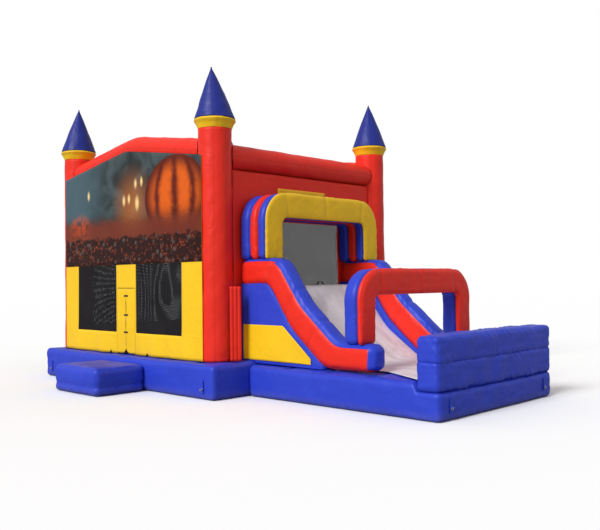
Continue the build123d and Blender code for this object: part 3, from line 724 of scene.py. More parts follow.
def roof_place(x, y):
    """The roof's points: the gable line over x, less a sag that is fullest halfway down each slope, and a
    turn down onto the side tubes near its edges."""
    slope = np.abs(x) / high.x
    sag = ROOF_SAG * np.sin(math.pi * np.clip(slope, 0, 1)) * (1 - (y / high.y) ** 4)
    z = gable_line(x) - sag - ROOF_TURN * np.clip((np.abs(x) - 1.45) / 0.2, 0, 1) ** 2
    points = np.stack((x, y, z), axis=1)
    points[:, 2] += 0.006 * folds(points, 0.6, 91) * (1 - (y / high.y) ** 8)
    return points


points, quads, area, a, _ = sheet_surface(
    grid_lines(low.x + 0.004, high.x - 0.004, 0.05, (0.0,)), grid_lines(low.y + 0.004, high.y - 0.004, 0.05),
    roof_place, (), (0, 0, ROOF_THICK),
)
roof = fit_piece("roof_cloth", points, quads, red_vinyl, "red_vinyl", ["roof_sheet"], distance=np.abs(a))

# Front wall: a yellow sheet between the front towers, with a doorway and two windows cut in it.
# It is sewn to the base, which draws it into small folds along its foot.
wall_low, wall_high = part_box("front_panel")
net_low, net_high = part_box("window_nets")
left_low, left_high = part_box("door_flap_left")
right_low, right_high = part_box("door_flap_right")
banner_low, banner_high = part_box("banner")
NET_OVERLAP = 0.022
HINGE_GAP = 0.005
GABLE_HEM = 0.065
CLOTH = 0.003
STILE = 0.030
WINDOW_FOOT = net_low.z + NET_OVERLAP
WINDOW_TOP = net_high.z - NET_OVERLAP
HINGE_LEFT = left_low.x - HINGE_GAP
HINGE_RIGHT = right_high.x + HINGE_GAP
DOOR_TOP = left_high.z + HINGE_GAP
window_edges = [(net_low.x + NET_OVERLAP, HINGE_LEFT - STILE), (HINGE_RIGHT + STILE, net_high.x - NET_OVERLAP)]
FRONT_Y = wall_low.y + 0.004


def front_ripple(x, z):
    """How far the front wall's cloth leans outwards: slow upright folds, that grow towards its foot, and
    nothing at the hinge lines, at the towers or beside the door."""
    near_foot = np.exp(-(((z - wall_low.z) / 0.28) ** 2))
    upright_folds = np.sin(9.0 * x + 1.5 * np.sin(2.2 * z)) + 0.6 * np.sin(17.0 * x + 2.0 * z)
    held = 1 - np.exp(-(((np.abs(x) - wall_high.x) / 0.12) ** 2))
    off_door = np.clip((np.abs(x - (HINGE_LEFT + HINGE_RIGHT) / 2) - 0.245) / 0.15, 0, 1)
    return -(0.004 + 0.013 * near_foot) * (0.6 + 0.5 * upright_folds) * held * off_door - 0.012 * held * off_door * near_foot


def gabled(x, z):
    """Height on a wall that ends under the gable: up to the windows' top as it is, and from there on
    stretched so that its highest row follows the gable line, a little under it."""
    share = np.clip((z - WINDOW_TOP) / (wall_high.z - WINDOW_TOP), 0, 1)
    return np.where(z > WINDOW_TOP, WINDOW_TOP + share * (gable_line(x) - GABLE_HEM - WINDOW_TOP), z)


def foot_slits(x, z):
    """How far the wall's foot is drawn up off the base: small bell curves over X at the places where its
    stitching is open, which fade to nothing a hand's breadth up."""
    near_foot = np.clip(1 - (z - wall_low.z) / 0.16, 0, 1) ** 2
    return near_foot * sum(rise * np.exp(-(((x - slit_x) / 0.022) ** 2)) for slit_x, rise in FOOT_SLITS)


def front_place(y):
    """Places a front layer's points at that depth, on the wall's ripple."""
    return lambda x, z: np.stack((x, y + front_ripple(x, z), gabled(x, z) + foot_slits(x, z)), axis=1)


FOOT_SLITS = ((-0.435, 0.045), (0.560, 0.040))
marks_x = [HINGE_LEFT, HINGE_RIGHT, *window_edges[0], *window_edges[1]]
marks_x += [slit_x + off for slit_x, _ in FOOT_SLITS for off in (-0.044, -0.022, -0.011, 0, 0.011, 0.022, 0.044)]
points, quads, area, a, b = sheet_surface(
    grid_lines(wall_low.x, wall_high.x, 0.028, marks_x),
    grid_lines(wall_low.z, wall_high.z, 0.040, (WINDOW_FOOT, DOOR_TOP, WINDOW_TOP)),
    front_place(FRONT_Y),
    [(HINGE_LEFT, HINGE_RIGHT, 0, DOOR_TOP)] + [(x0, x1, WINDOW_FOOT, WINDOW_TOP) for x0, x1 in window_edges],
    (0, CLOTH, 0),
)
off_edge = np.min([np.abs(a - x) for x in (*window_edges[0], *window_edges[1])], axis=0)
off_edge = np.where((b > WINDOW_FOOT - 0.05) & (b < WINDOW_TOP + 0.05), off_edge, 1.0)
front = fit_piece("front_wall_cloth", points, quads, yellow_vinyl, "yellow_vinyl", ["front_panel"],
                  distance=np.minimum(off_edge + 0.008, np.abs(b - WINDOW_FOOT) + 0.008))

# Front windows: fine black knotless netting sewn behind the front wall, so that parents can look in.
# From further off it is nearly black, with what stands behind it showing faintly through.
net_group = bpy.data.node_groups.new("fine_net", "ShaderNodeTree")
net_in, net_out = sockets(
    net_group,
    [("Across", "NodeSocketFloat"), ("Upward", "NodeSocketFloat")],
    [("Alpha", "NodeSocketFloat"), ("Height", "NodeSocketFloat")],
)
MESH_PITCH = 0.012
MESH_HOLE = 0.37
threads = []
for direction in ("Across", "Upward"):
    share = calc(net_group, "FRACT", calc(net_group, "DIVIDE", net_in.outputs[direction], MESH_PITCH))
    threads.append(calc(net_group, "ABSOLUTE", calc(net_group, "SUBTRACT", share, 0.5)))
in_hole = calc(net_group, "LESS_THAN", calc(net_group, "MAXIMUM", *threads), MESH_HOLE / 2)
net_group.links.new(calc(net_group, "SUBTRACT", 1.0, in_hole), net_out.inputs["Alpha"])
net_group.links.new(calc(net_group, "MINIMUM", *threads), net_out.inputs["Height"])


def netting(name, across):
    """Black net in an upright plane: its threads run upright and along the given axis."""
    material, shader = plain_finish(name, (0.012, 0.012, 0.014), 0.8)
    shader.inputs["Specular IOR Level"].default_value = 0.1
    tree = material.node_tree
    where = tree.nodes.new("ShaderNodeSeparateXYZ")
    tree.links.new(object_place(tree), where.inputs[0])
    net = tree.nodes.new("ShaderNodeGroup")
    net.node_tree = net_group
    tree.links.new(where.outputs[across], net.inputs["Across"])
    tree.links.new(where.outputs["Z"], net.inputs["Upward"])
    worn = noise(tree, object_place(tree), 2.0, 3)
    tree.links.new(mixed(tree, worn, (0.008, 0.008, 0.010), (0.024, 0.024, 0.027)), shader.inputs["Base Color"])
    tree.links.new(net.outputs["Alpha"], shader.inputs["Alpha"])
    bumped(tree, shader, net.outputs["Height"], 0.001)
    return material


net_over_x = netting("net_over_x", "X")
net_over_y = netting("net_over_y", "Y")
NET_THICK = 0.001
NET_LAP = 0.018
NET_TOP_LAP = 0.012
NET_GRID = 0.035
LAYER_GAP = 0.001
for side, (x0, x1) in zip(("left", "right"), window_edges):
    points, quads, area, *_ = sheet_surface(
        grid_lines(x0 - NET_LAP, x1 + NET_LAP, NET_GRID),
        grid_lines(WINDOW_FOOT - NET_LAP, WINDOW_TOP + NET_TOP_LAP, NET_GRID),
        front_place(FRONT_Y + CLOTH + LAYER_GAP), (), (0, NET_THICK, 0),
    )
    window = fit_piece("window_net_" + side, points, quads, net_over_x, "black_net", ["window_nets"])

# Banner: a printed sheet that covers the upper half of the front wall and can be changed for another.
# Its print is a plain autumn dusk: a mottled sky, a warm glow, a round gourd and dark stony ground.
banner_material, banner_shader = plain_finish("banner_print", (0.1, 0.06, 0.04), 0.6)
banner_shader.inputs["Specular IOR Level"].default_value = 0.2
print_tree = banner_material.node_tree
print_place = object_place(print_tree)
spread = print_tree.nodes.new("ShaderNodeSeparateXYZ")
print_tree.links.new(print_place, spread.inputs[0])
print_x, print_z = spread.outputs["X"], spread.outputs["Z"]


def round_patch(tree, x, z, centre_x, centre_z, half_x, half_z):
    """How far out of an ellipse a point is: 0 in its middle and 1 on its edge."""
    across = calc(tree, "DIVIDE", calc(tree, "SUBTRACT", x, centre_x), half_x)
    upward = calc(tree, "DIVIDE", calc(tree, "SUBTRACT", z, centre_z), half_z)
    squares = calc(tree, "ADD", calc(tree, "POWER", calc(tree, "ABSOLUTE", across), 2.0),
                   calc(tree, "POWER", calc(tree, "ABSOLUTE", upward), 2.0))
    return calc(tree, "SQRT", squares), across


print_calc = partial(calc, print_tree)
print_mix = partial(mixed, print_tree)
print_step = partial(step_between, print_tree)
print_noise = partial(noise, print_tree, print_place)
from_ellipse = partial(round_patch, print_tree, print_x, print_z)
clouds = print_noise(2.3, 6, 0.8)
picture = print_mix(print_step(clouds, 0.35, 0.65), (0.018, 0.024, 0.026), (0.060, 0.085, 0.090))
picture = print_mix(print_step(print_x, -0.2, -1.5), picture, (0.060, 0.110, 0.135))
picture = print_mix(print_step(print_z, 2.75, 2.45), picture, (0.040, 0.020, 0.012))
glow, _ = from_ellipse(0.18, 2.78, 0.66, 0.72)
glow_share = print_calc("MULTIPLY", print_step(glow, 1.0, 0.0), 0.8)
picture = print_mix(glow_share, picture, (0.42, 0.13, 0.025))
for lamp_x, lamp_z, lamp_half in (
    (-0.06, 2.86, 0.055), (0.08, 2.88, 0.05), (0.30, 2.80, 0.075), (0.26, 3.10, 0.05), (0.42, 3.12, 0.05), (-1.10, 3.02, 0.05)
):
    off_lamp, _ = from_ellipse(lamp_x, lamp_z, lamp_half, 2.1 * lamp_half)
    lamp_share = print_calc("MULTIPLY", print_step(off_lamp, 1.0, 0.15), 0.9)
    picture = print_mix(lamp_share, picture, (1.0, 0.70, 0.28))
embers, _ = from_ellipse(-1.38, 2.42, 0.48, 0.40)
flicker = print_calc("MULTIPLY", print_step(embers, 1.0, 0.1),
               print_step(print_noise(7, 5, 1.0), 0.38, 0.62))
picture = print_mix(flicker, picture, (0.78, 0.10, 0.012))
gourd, gourd_across = from_ellipse(1.25, 2.83, 0.74, 0.60)
gourd_rise = print_calc("DIVIDE", print_calc("SUBTRACT", print_z, 2.83), 0.66)
gourd_width = print_calc("SQRT", print_calc("MAXIMUM", print_calc("SUBTRACT", 1.0, print_calc("MULTIPLY", gourd_rise, gourd_rise)), 0.02))
round_it = print_calc("DIVIDE", gourd_across, gourd_width)
round_it = print_calc("MAXIMUM", print_calc("MINIMUM", round_it, 1.0), -1.0)
ribs = print_calc("ABSOLUTE", print_calc("SINE", print_calc("MULTIPLY", print_calc("ARCSINE", round_it), 5.0)))
streaks = print_calc("MULTIPLY", print_calc("SUBTRACT", print_noise(9, 4, 0.5), 0.5), 0.9)
ribs = print_calc("ADD", ribs, streaks)
rind = print_mix(print_step(ribs, 0.05, 0.95), (0.13, 0.010, 0.002), (0.74, 0.115, 0.004))
rind = print_mix(print_step(gourd, 0.55, 1.0), rind, (0.11, 0.010, 0.003))
rind = print_mix(print_step(print_z, 2.80, 2.28), rind, (0.030, 0.005, 0.004))
picture = print_mix(print_step(gourd, 1.01, 0.99), picture, rind)
weeds = print_step(print_calc("ADD", print_z, print_calc("MULTIPLY", print_noise(26, 3), 0.30)), 2.80, 2.62)
picture = print_mix(print_calc("MULTIPLY", weeds, 0.75), picture, (0.20, 0.030, 0.012))
soil = print_calc("ADD", print_z, print_calc("MULTIPLY", print_noise(11, 3), 0.22))
stones = print_tree.nodes.new("ShaderNodeTexVoronoi")
stones.inputs["Scale"].default_value = 7.5
print_tree.links.new(print_place, stones.inputs["Vector"])
ground = print_mix(print_step(stones.outputs["Distance"], 0.34, 0.16), (0.022, 0.004, 0.003), (0.085, 0.066, 0.058))
leaves = print_step(print_noise(24, 3), 0.56, 0.68)
ground = print_mix(leaves, ground, (0.24, 0.040, 0.012))
picture = print_mix(print_step(soil, 2.44, 2.38), picture, ground)
print_tree.links.new(picture, banner_shader.inputs["Base Color"])
bumped(print_tree, banner_shader, print_noise(2.6, 3, 0.7), 0.02, 0.3)
print_tree.links.new(scaled(print_tree, print_noise(5), 0.2, 0.34), banner_shader.inputs["Roughness"])
points, quads, area, *_ = sheet_surface(
    grid_lines(banner_low.x, banner_high.x, 0.04, (0.0,)), grid_lines(WINDOW_TOP + 0.001, wall_high.z, 0.05),
    front_place(FRONT_Y - 0.0045), (), (0, 0.003, 0),
)
banner = fit_piece("banner_cloth", points, quads, banner_material, "banner_print", ["banner"])

# Door: two flaps of the wall's own yellow cloth that meet in a slit. Each is sewn to the wall along its
# outer side, where it bends when it is pushed open, and short black straps hold the slit shut.
webbing, webbing_shader = plain_finish("black_webbing", (0.012, 0.012, 0.014), 0.75)
web_tree = webbing.node_tree
ribbed = web_tree.nodes.new("ShaderNodeTexWave")
ribbed.inputs["Scale"].default_value = 180
ribbed.inputs["Distortion"].default_value = 1.0
web_tree.links.new(object_place(web_tree), ribbed.inputs["Vector"])
web_tree.links.new(mixed(web_tree, ribbed.outputs["Fac"], (0.006, 0.006, 0.008), (0.030, 0.030, 0.034)),
                   webbing_shader.inputs["Base Color"])
bumped(web_tree, webbing_shader, ribbed.outputs["Fac"], 0.001)
FLAP_BOW = 0.010
TIE_Z = (0.824, 1.090, 1.386)
TIE_HALF = 0.013
TIE_THICK = 0.002
TIE_GRID = 0.006
for side, flap_low, flap_high, hinge_x, slit_x in (
    ("left", left_low, left_high, HINGE_LEFT, left_high.x), ("right", right_low, right_high, HINGE_RIGHT, right_low.x)
):
    body = "door_" + side

    def flap_place(x, z):
        """The flap's points: flat at the hinge line, bowed out a little and wavy towards the slit, which
        gapes between the ties as a sine's size, and whose foot is drawn up off the base."""
        share = (x - hinge_x) / (slit_x - hinge_x)
        wave = 0.5 + 0.3 * np.sin(7.0 * z + (1 if side == "left" else 2.2)) + 0.2 * np.sin(16.0 * z)
        wave *= np.clip((DOOR_TOP - z) / 0.12, 0, 1)
        gape = 0.006 * np.abs(np.sin(math.pi * (z - TIE_Z[1]) / (TIE_Z[2] - TIE_Z[1]))) * np.clip((DOOR_TOP - z) / 0.1, 0, 1)
        drawn_up = 0.085 * share**8 * np.clip(1 - (z - flap_low.z) / 0.18, 0, 1) ** 2
        sideways = np.sign(hinge_x - slit_x) * gape * share**6
        return np.stack((x + sideways, FRONT_Y - FLAP_BOW * share**2 * wave, z + drawn_up), axis=1)

    x0, x1 = sorted((hinge_x, slit_x))
    points, quads, _, a, _ = sheet_surface(
        grid_lines(x0, x1, 0.012), grid_lines(flap_low.z, DOOR_TOP - 0.001, 0.028), flap_place, (), (0, CLOTH, 0))
    flap = closed_piece("door_cloth_" + side, points, quads, yellow_vinyl, np.abs(a - slit_x) + 0.006)
    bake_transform(flap)
    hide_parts("door_flap_" + side)
    tie_low, tie_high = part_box("door_ties_" + side)
    tie_surfaces = []
    for tie_z in TIE_Z:
        def tie_place(x, z):
            """A tie's points: on the flap, and arched a little off it in the middle."""
            share = (x - tie_low.x) / (tie_high.x - tie_low.x)
            on_flap = flap_place(x, z)
            on_flap[:, 1] -= 0.0035 + 0.004 * np.sin(math.pi * share)
            return on_flap

        points, quads, *_ = sheet_surface(
            grid_lines(tie_low.x + 0.001, tie_high.x - 0.001, TIE_GRID),
            grid_lines(tie_z - TIE_HALF, tie_z + TIE_HALF, TIE_GRID),
            tie_place, (), (0, TIE_THICK, 0),
        )
        tie_surfaces.append((points, quads))
    ties = fit_piece(
        "door_straps_" + side, *together(tie_surfaces), webbing, "black_webbing", ["door_ties_" + side], body
    )

# Left and back walls: yellow sheets round one large net each, sewn to the base, the towers and the
# beams. Right wall: a red sheet round the mouth of the tunnel, with a narrow yellow band over it.
wall_nets_low, wall_nets_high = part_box("wall_nets")
WALL_BORDER = 0.413
WALL_GRID = 0.05
WALL_INSET = 0.003
WALL_RIPPLE = 0.008


def side_place(x, seed):
    """Places a wall's points across X, with a slow ripple."""
    def place(y, z):
        points = np.stack((np.full_like(y, x), y, z), axis=1)
        held = np.clip((TOWER.y - np.abs(y)) / 0.3, 0, 1)
        points[:, 0] += WALL_RIPPLE * folds(points, 0.7, seed) * held
        return points
    return place


def back_place(y, seed):
    """Places the back wall's points across Y, up to the gable line, with a slow ripple."""
    def place(x, z):
        top = BACK_NET_TOP
        share = np.clip((z - top) / (back_high.z - top), 0, 1)
        height = np.where(z > top, top + share * (gable_line(x) - top), z)
        points = np.stack((x, np.full_like(x, y), height), axis=1)
        held = np.clip((TOWER.x - np.abs(x)) / 0.3, 0, 1)
        points[:, 1] += WALL_RIPPLE * folds(points * (1, 0, 1), 0.7, seed) * held
        return points
    return place


low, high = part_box("left_wall_frame")
back_low, back_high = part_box("back_wall_frame")
BACK_NET_TOP = wall_nets_high.z - NET_OVERLAP
NET_FOOT = wall_nets_low.z + NET_OVERLAP
half_y, half_x = TOWER.y - WALL_BORDER, TOWER.x - WALL_BORDER
points, quads, area, *_ = sheet_surface(
    grid_lines(low.y, high.y, WALL_GRID, (-half_y, half_y)), grid_lines(low.z, high.z, WALL_GRID, (NET_FOOT, BACK_NET_TOP)),
    side_place(low.x + WALL_INSET, 101), [(-half_y, half_y, NET_FOOT, BACK_NET_TOP)], (CLOTH, 0, 0))
left_wall = fit_piece("left_wall_cloth", points, quads, yellow_vinyl, "yellow_vinyl", ["left_wall_frame"])
points, quads, *_ = sheet_surface(
    grid_lines(-half_y - NET_LAP, half_y + NET_LAP, WALL_GRID),
    grid_lines(NET_FOOT - NET_LAP, BACK_NET_TOP + NET_LAP, WALL_GRID),
    side_place(low.x + WALL_INSET + CLOTH + LAYER_GAP, 101), (), (NET_THICK, 0, 0))
left_net = fit_piece("left_wall_net", points, quads, net_over_y, "black_net", ["wall_nets"])
points, quads, area, *_ = sheet_surface(
    grid_lines(back_low.x, back_high.x, WALL_GRID, (-half_x, 0.0, half_x)),
    grid_lines(back_low.z, back_high.z, WALL_GRID, (NET_FOOT, BACK_NET_TOP)),
    back_place(back_high.y - WALL_INSET, 103), [(-half_x, half_x, NET_FOOT, BACK_NET_TOP)], (0, -CLOTH, 0))
back_wall = fit_piece("back_wall_cloth", points, quads, yellow_vinyl, "yellow_vinyl", ["back_wall_frame"])
points, quads, *_ = sheet_surface(
    grid_lines(-half_x - NET_LAP, half_x + NET_LAP, WALL_GRID),
    grid_lines(NET_FOOT - NET_LAP, BACK_NET_TOP, WALL_GRID),
    back_place(back_high.y - WALL_INSET - CLOTH - LAYER_GAP, 103), (), (0, -NET_THICK, 0))
back_net = fit_piece("back_wall_net", points, quads, net_over_x, "black_net", ["wall_nets"])

tunnel_low, tunnel_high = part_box("tunnel_rib_rear")
core_low, core_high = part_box("slide_core")
SLIDE_Y = (tunnel_low.y + tunnel_high.y) / 2
MOUTH_HALF = 0.89
MOUTH_TOP = 2.47
PLATFORM_Z = core_high.z
low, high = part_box("right_wall_panel")
WALL_TOP = SIDE_BEAM_Z - BEAM_RADIUS + 0.01
points, quads, area, *_ = sheet_surface(
    grid_lines(low.y + 0.002, high.y - 0.002, WALL_GRID, (SLIDE_Y - MOUTH_HALF, SLIDE_Y + MOUTH_HALF)),
    grid_lines(low.z, WALL_TOP, WALL_GRID, (PLATFORM_Z, MOUTH_TOP)),
    side_place(high.x - 0.004, 105), [(SLIDE_Y - MOUTH_HALF, SLIDE_Y + MOUTH_HALF, PLATFORM_Z, MOUTH_TOP)], (-CLOTH, 0, 0))
right_wall = fit_piece("right_wall_cloth", points, quads, red_vinyl, "red_vinyl", ["right_wall_panel"])
BAND_Y, BAND_Z = (-0.62, 0.42), (2.885, 2.975)
points, quads, *_ = sheet_surface(
    grid_lines(*BAND_Y, WALL_GRID), grid_lines(*BAND_Z, 0.03), side_place(high.x - 0.003, 105), (), (0.002, 0, 0))
band = fit_piece("header_band", points, quads, yellow_vinyl, "yellow_vinyl", [])

# Slide body: a blue chamber that fills the space under the bed, from the platform down to the landing.
# Riders come down a white liner that covers it and the landing, and that is loose enough to wrinkle.
BED_HALF = (core_high.y - core_low.y) / 2
LINER_RISE = 0.006
BED_KNOTS = ((core_low.x, PLATFORM_Z), (2.45, PLATFORM_Z), (2.96, 0.866), (core_high.x, core_low.z))


def eased_line(knots, places, reach):
    """Heights of a line through knots at some places along X, with its corners eased: the mean of the line
    over that reach to either side."""
    shifts = np.linspace(-1, 1, 9)
    weight = 1 - 0.8 * shifts**2
    x, z = np.array(knots).T
    total = sum(w * np.interp(places + reach * s, x, z) for s, w in zip(shifts, weight))
    return total / weight.sum()


def bed_height(x):
    """Height of the slide bed at X."""
    return eased_line(BED_KNOTS, x, 0.10)


across = grid_lines(core_low.y, core_high.y, 0.06)
along_x = grid_lines(core_low.x, core_high.x - 0.02, 0.03)
upper = np.stack(np.meshgrid(along_x, across, indexing="ij"), axis=-1)
upper = np.concatenate((upper, bed_height(upper[..., :1]) - 0.004), axis=2)
lower = upper.copy()
lower[..., 2] = np.minimum(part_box("slide_base")[1].z - 0.012, upper[..., 2] - 0.01)
grid = np.concatenate((upper, lower[:, ::-1]), axis=1)
middle = grid.mean(axis=1, keepdims=True)
grid = np.concatenate((middle[:1] + 0 * grid[:1], grid, middle[-1:] + 0 * grid[-1:]))
points, quads, _ = closed_grid(grid)
core = fit_piece("slide_core_chamber", points, quads, blue_vinyl, "blue_vinyl", ["slide_core"])

liner_white, liner_shader = plain_finish("liner_white", (0.80, 0.78, 0.79), 0.5)
liner_tree = liner_white.node_tree
liner_place = object_place(liner_tree)
scuffs = noise(liner_tree, liner_place, 2.6, 5, 0.5)
liner_colour = mixed(liner_tree, step_between(liner_tree, scuffs, 0.35, 0.7), (0.88, 0.85, 0.86), (0.66, 0.63, 0.65))
specks = liner_tree.nodes.new("ShaderNodeTexVoronoi")
specks.inputs["Scale"].default_value = 21
liner_tree.links.new(liner_place, specks.inputs["Vector"])
speck_share = calc(liner_tree, "MULTIPLY", step_between(liner_tree, specks.outputs["Distance"], 0.16, 0.08),
                   step_between(liner_tree, noise(liner_tree, liner_place, 5.0, 2), 0.50, 0.66))
liner_tree.links.new(mixed(liner_tree, calc(liner_tree, "MULTIPLY", speck_share, 0.6), liner_colour, (0.10, 0.10, 0.12)),
                     liner_shader.inputs["Base Color"])
liner_tree.links.new(scaled(liner_tree, scuffs, 0.3, 0.3), liner_shader.inputs["Roughness"])
crease = calc(liner_tree, "ABSOLUTE", calc(liner_tree, "SUBTRACT", noise(liner_tree, liner_place, 3.4, 4, 1.2), 0.5))
bumped(liner_tree, liner_shader, crease, 0.03, 0.6)
liner_low, liner_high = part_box("slide_liner")
NEAR_WALL_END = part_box("slide_cap_near")[1].x


def liner_place_at(x, share):
    """The liner's points: share runs from the near side at 0 to the far side at 1, and past the near
    wall's end the near side runs outwards. It lies on the bed line, with small folds down its length."""
    flare = np.clip((x - NEAR_WALL_END) / (liner_high.x - NEAR_WALL_END), 0, 1)
    near_y = core_low.y + flare * (liner_low.y - core_low.y)
    y = near_y + share * (core_high.y - near_y)
    z = np.where(x < core_high.x, bed_height(np.minimum(x, core_high.x)), core_low.z)
    points = np.stack((x, y, z + 0.001), axis=1)
    free = np.clip(np.minimum(share, 1 - share) / 0.1, 0, 1)
    wrinkle = 0.5 + 0.5 * folds(points * (0.35, 1, 0.35), 0.16, 131)
    points[:, 2] += LINER_RISE * np.clip(wrinkle, 0, 1) * free
    return points


points, quads, area, *_ = sheet_surface(
    grid_lines(liner_low.x, liner_high.x - 0.004, 0.03), np.linspace(0, 1, 80), liner_place_at, (), (0, 0, 0.003))
liner = fit_piece("slide_liner_sheet", points, quads, liner_white, "white_vinyl", ["slide_liner"])

# Side walls of the slide: fat red tubes that follow the bed down on both sides, with a blue strip sewn
# over their tops. The near one stops short, so that riders can step off to the side.
WALL_DEPTH = 0.38
WALL_GRAIN = 0.024
LEVEL_RUN = 0.66
CAP_LIFT = 0.003
WALL_TOP_KNOTS = [(core_low.x, 1.9), (2.79, 1.9), (3.215, 1.32), (3.83, 0.803)]
WALL_FOOT_KNOTS = [(core_low.x, 1.52), (2.575, 1.52), (2.985, 0.92), (3.56, core_low.z)]


def two_lines(first, second, reach):
    """Two lines through matching knots, walked side by side and eased at the corners by averaging.
    Returns how far along each step is and both lines' points."""
    first, second = np.array(first, float), np.array(second, float)
    middle = (first + second) / 2
    stop = np.concatenate([[0], np.cumsum(np.linalg.norm(np.diff(middle, axis=0), axis=1))])
    walk = np.linspace(0, stop[-1], 240)
    lines = []
    for knots in (first, second):
        shifts = np.linspace(-1, 1, 11)
        weight = 1 - 0.8 * shifts**2
        line = np.zeros((len(walk), knots.shape[1]))
        for shift, share in zip(shifts, weight / weight.sum()):
            near = np.minimum(reach, np.minimum(walk, stop[-1] - walk))
            at = walk + near * shift
            line += share * np.stack([np.interp(at, stop, column) for column in knots.T], axis=1)
        lines.append(line)
    return walk, lines[0], lines[1]


def on_lines(points, walk, first, second, depth, axes):
    """Bends a straight block: its first coordinate runs along two lines, and its last one from the
    second line at 0 to the first at that depth. Axes say which of X, Y, Z the lines' two values are,
    and the block's middle coordinate is the third."""
    share = points[:, 2:] / depth
    placed = np.zeros_like(points)
    over = points[:, 0] - np.clip(points[:, 0], 0, walk[-1])
    for k, axis in enumerate(axes):
        upper = np.interp(points[:, 0], walk, first[:, k])
        lower = np.interp(points[:, 0], walk, second[:, k])
        placed[:, axis] = lower + share[:, 0] * (upper - lower)
        tangent = np.where(over > 0, (first[-1, k] - first[-4, k]), (first[3, k] - first[0, k]))
        scale = np.where(over > 0, np.linalg.norm(first[-1] - first[-4]), np.linalg.norm(first[3] - first[0]))
        placed[:, axis] += over * tangent / scale
    placed[:, 3 - sum(axes)] = points[:, 1]
    return placed


def cap_over(points, quads, kept_quads, lift):
    """A thin closed cover on part of a surface: its points moved out along their normals by the lift,
    and again inwards by as much."""
    normal = outward(points, facing_out(points, quads))
    used, faces = np.unique(quads[kept_quads], return_inverse=True)
    top = points[used] + lift * normal[used]
    return thickened(top, faces.reshape(-1, 4), -2 * lift * normal[used])


for side, reach_x, seed in (("near", NEAR_WALL_END, 141), ("far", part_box("slide_cap_far")[1].x, 151)):
    low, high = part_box("slide_cap_" + side)
    top_knots = WALL_TOP_KNOTS + [(reach_x, WALL_TOP_KNOTS[-1][1])]
    foot_knots = WALL_FOOT_KNOTS + [(reach_x, core_low.z)]
    walk, top_line, foot_line = two_lines(top_knots, foot_knots, 0.17)
    seams = [(0, walk[-1] * share) for share in (0.22, 0.42, 0.62)]
    block_low = (0.004, low.y + 0.012, 0.006)
    block_high = (walk[-1] - 0.012, high.y - 0.012, WALL_DEPTH - 0.008)
    block_points, quads, distance = inflated_block(
        block_low, block_high, 0.105, WALL_GRAIN, seams, 0.012, 0.004, seed, flat_foot=False)
    straight, _ = box_surface([
        grid_lines(block_low[k], block_high[k], WALL_GRAIN, [place for axis, place in seams if axis == k])
        for k in range(3)
    ])
    points = on_lines(block_points, walk, top_line, foot_line, WALL_DEPTH, (0, 2))
    points[:, 2] = np.maximum(points[:, 2], core_low.z - 0.004)
    points[:, 0] = np.maximum(points[:, 0], core_low.x)
    wall = fit_piece("slide_tube_" + side, points, quads, red_vinyl, "red_vinyl", ["slide_wall_" + side], distance=distance)
    middle = straight[quads].mean(axis=1)
    on_top = middle[:, 2] > np.where(middle[:, 0] < LEVEL_RUN, WALL_DEPTH - 0.010, WALL_DEPTH - 0.055)
    if side == "near":
        on_top |= (middle[:, 0] > walk[-1] - 0.095) & (middle[:, 2] > 0.02)
    points, quads = cap_over(points, quads, on_top, CAP_LIFT)
    cap = fit_piece("slide_strip_" + side, points, quads, blue_vinyl, "blue_vinyl", ["slide_cap_" + side])

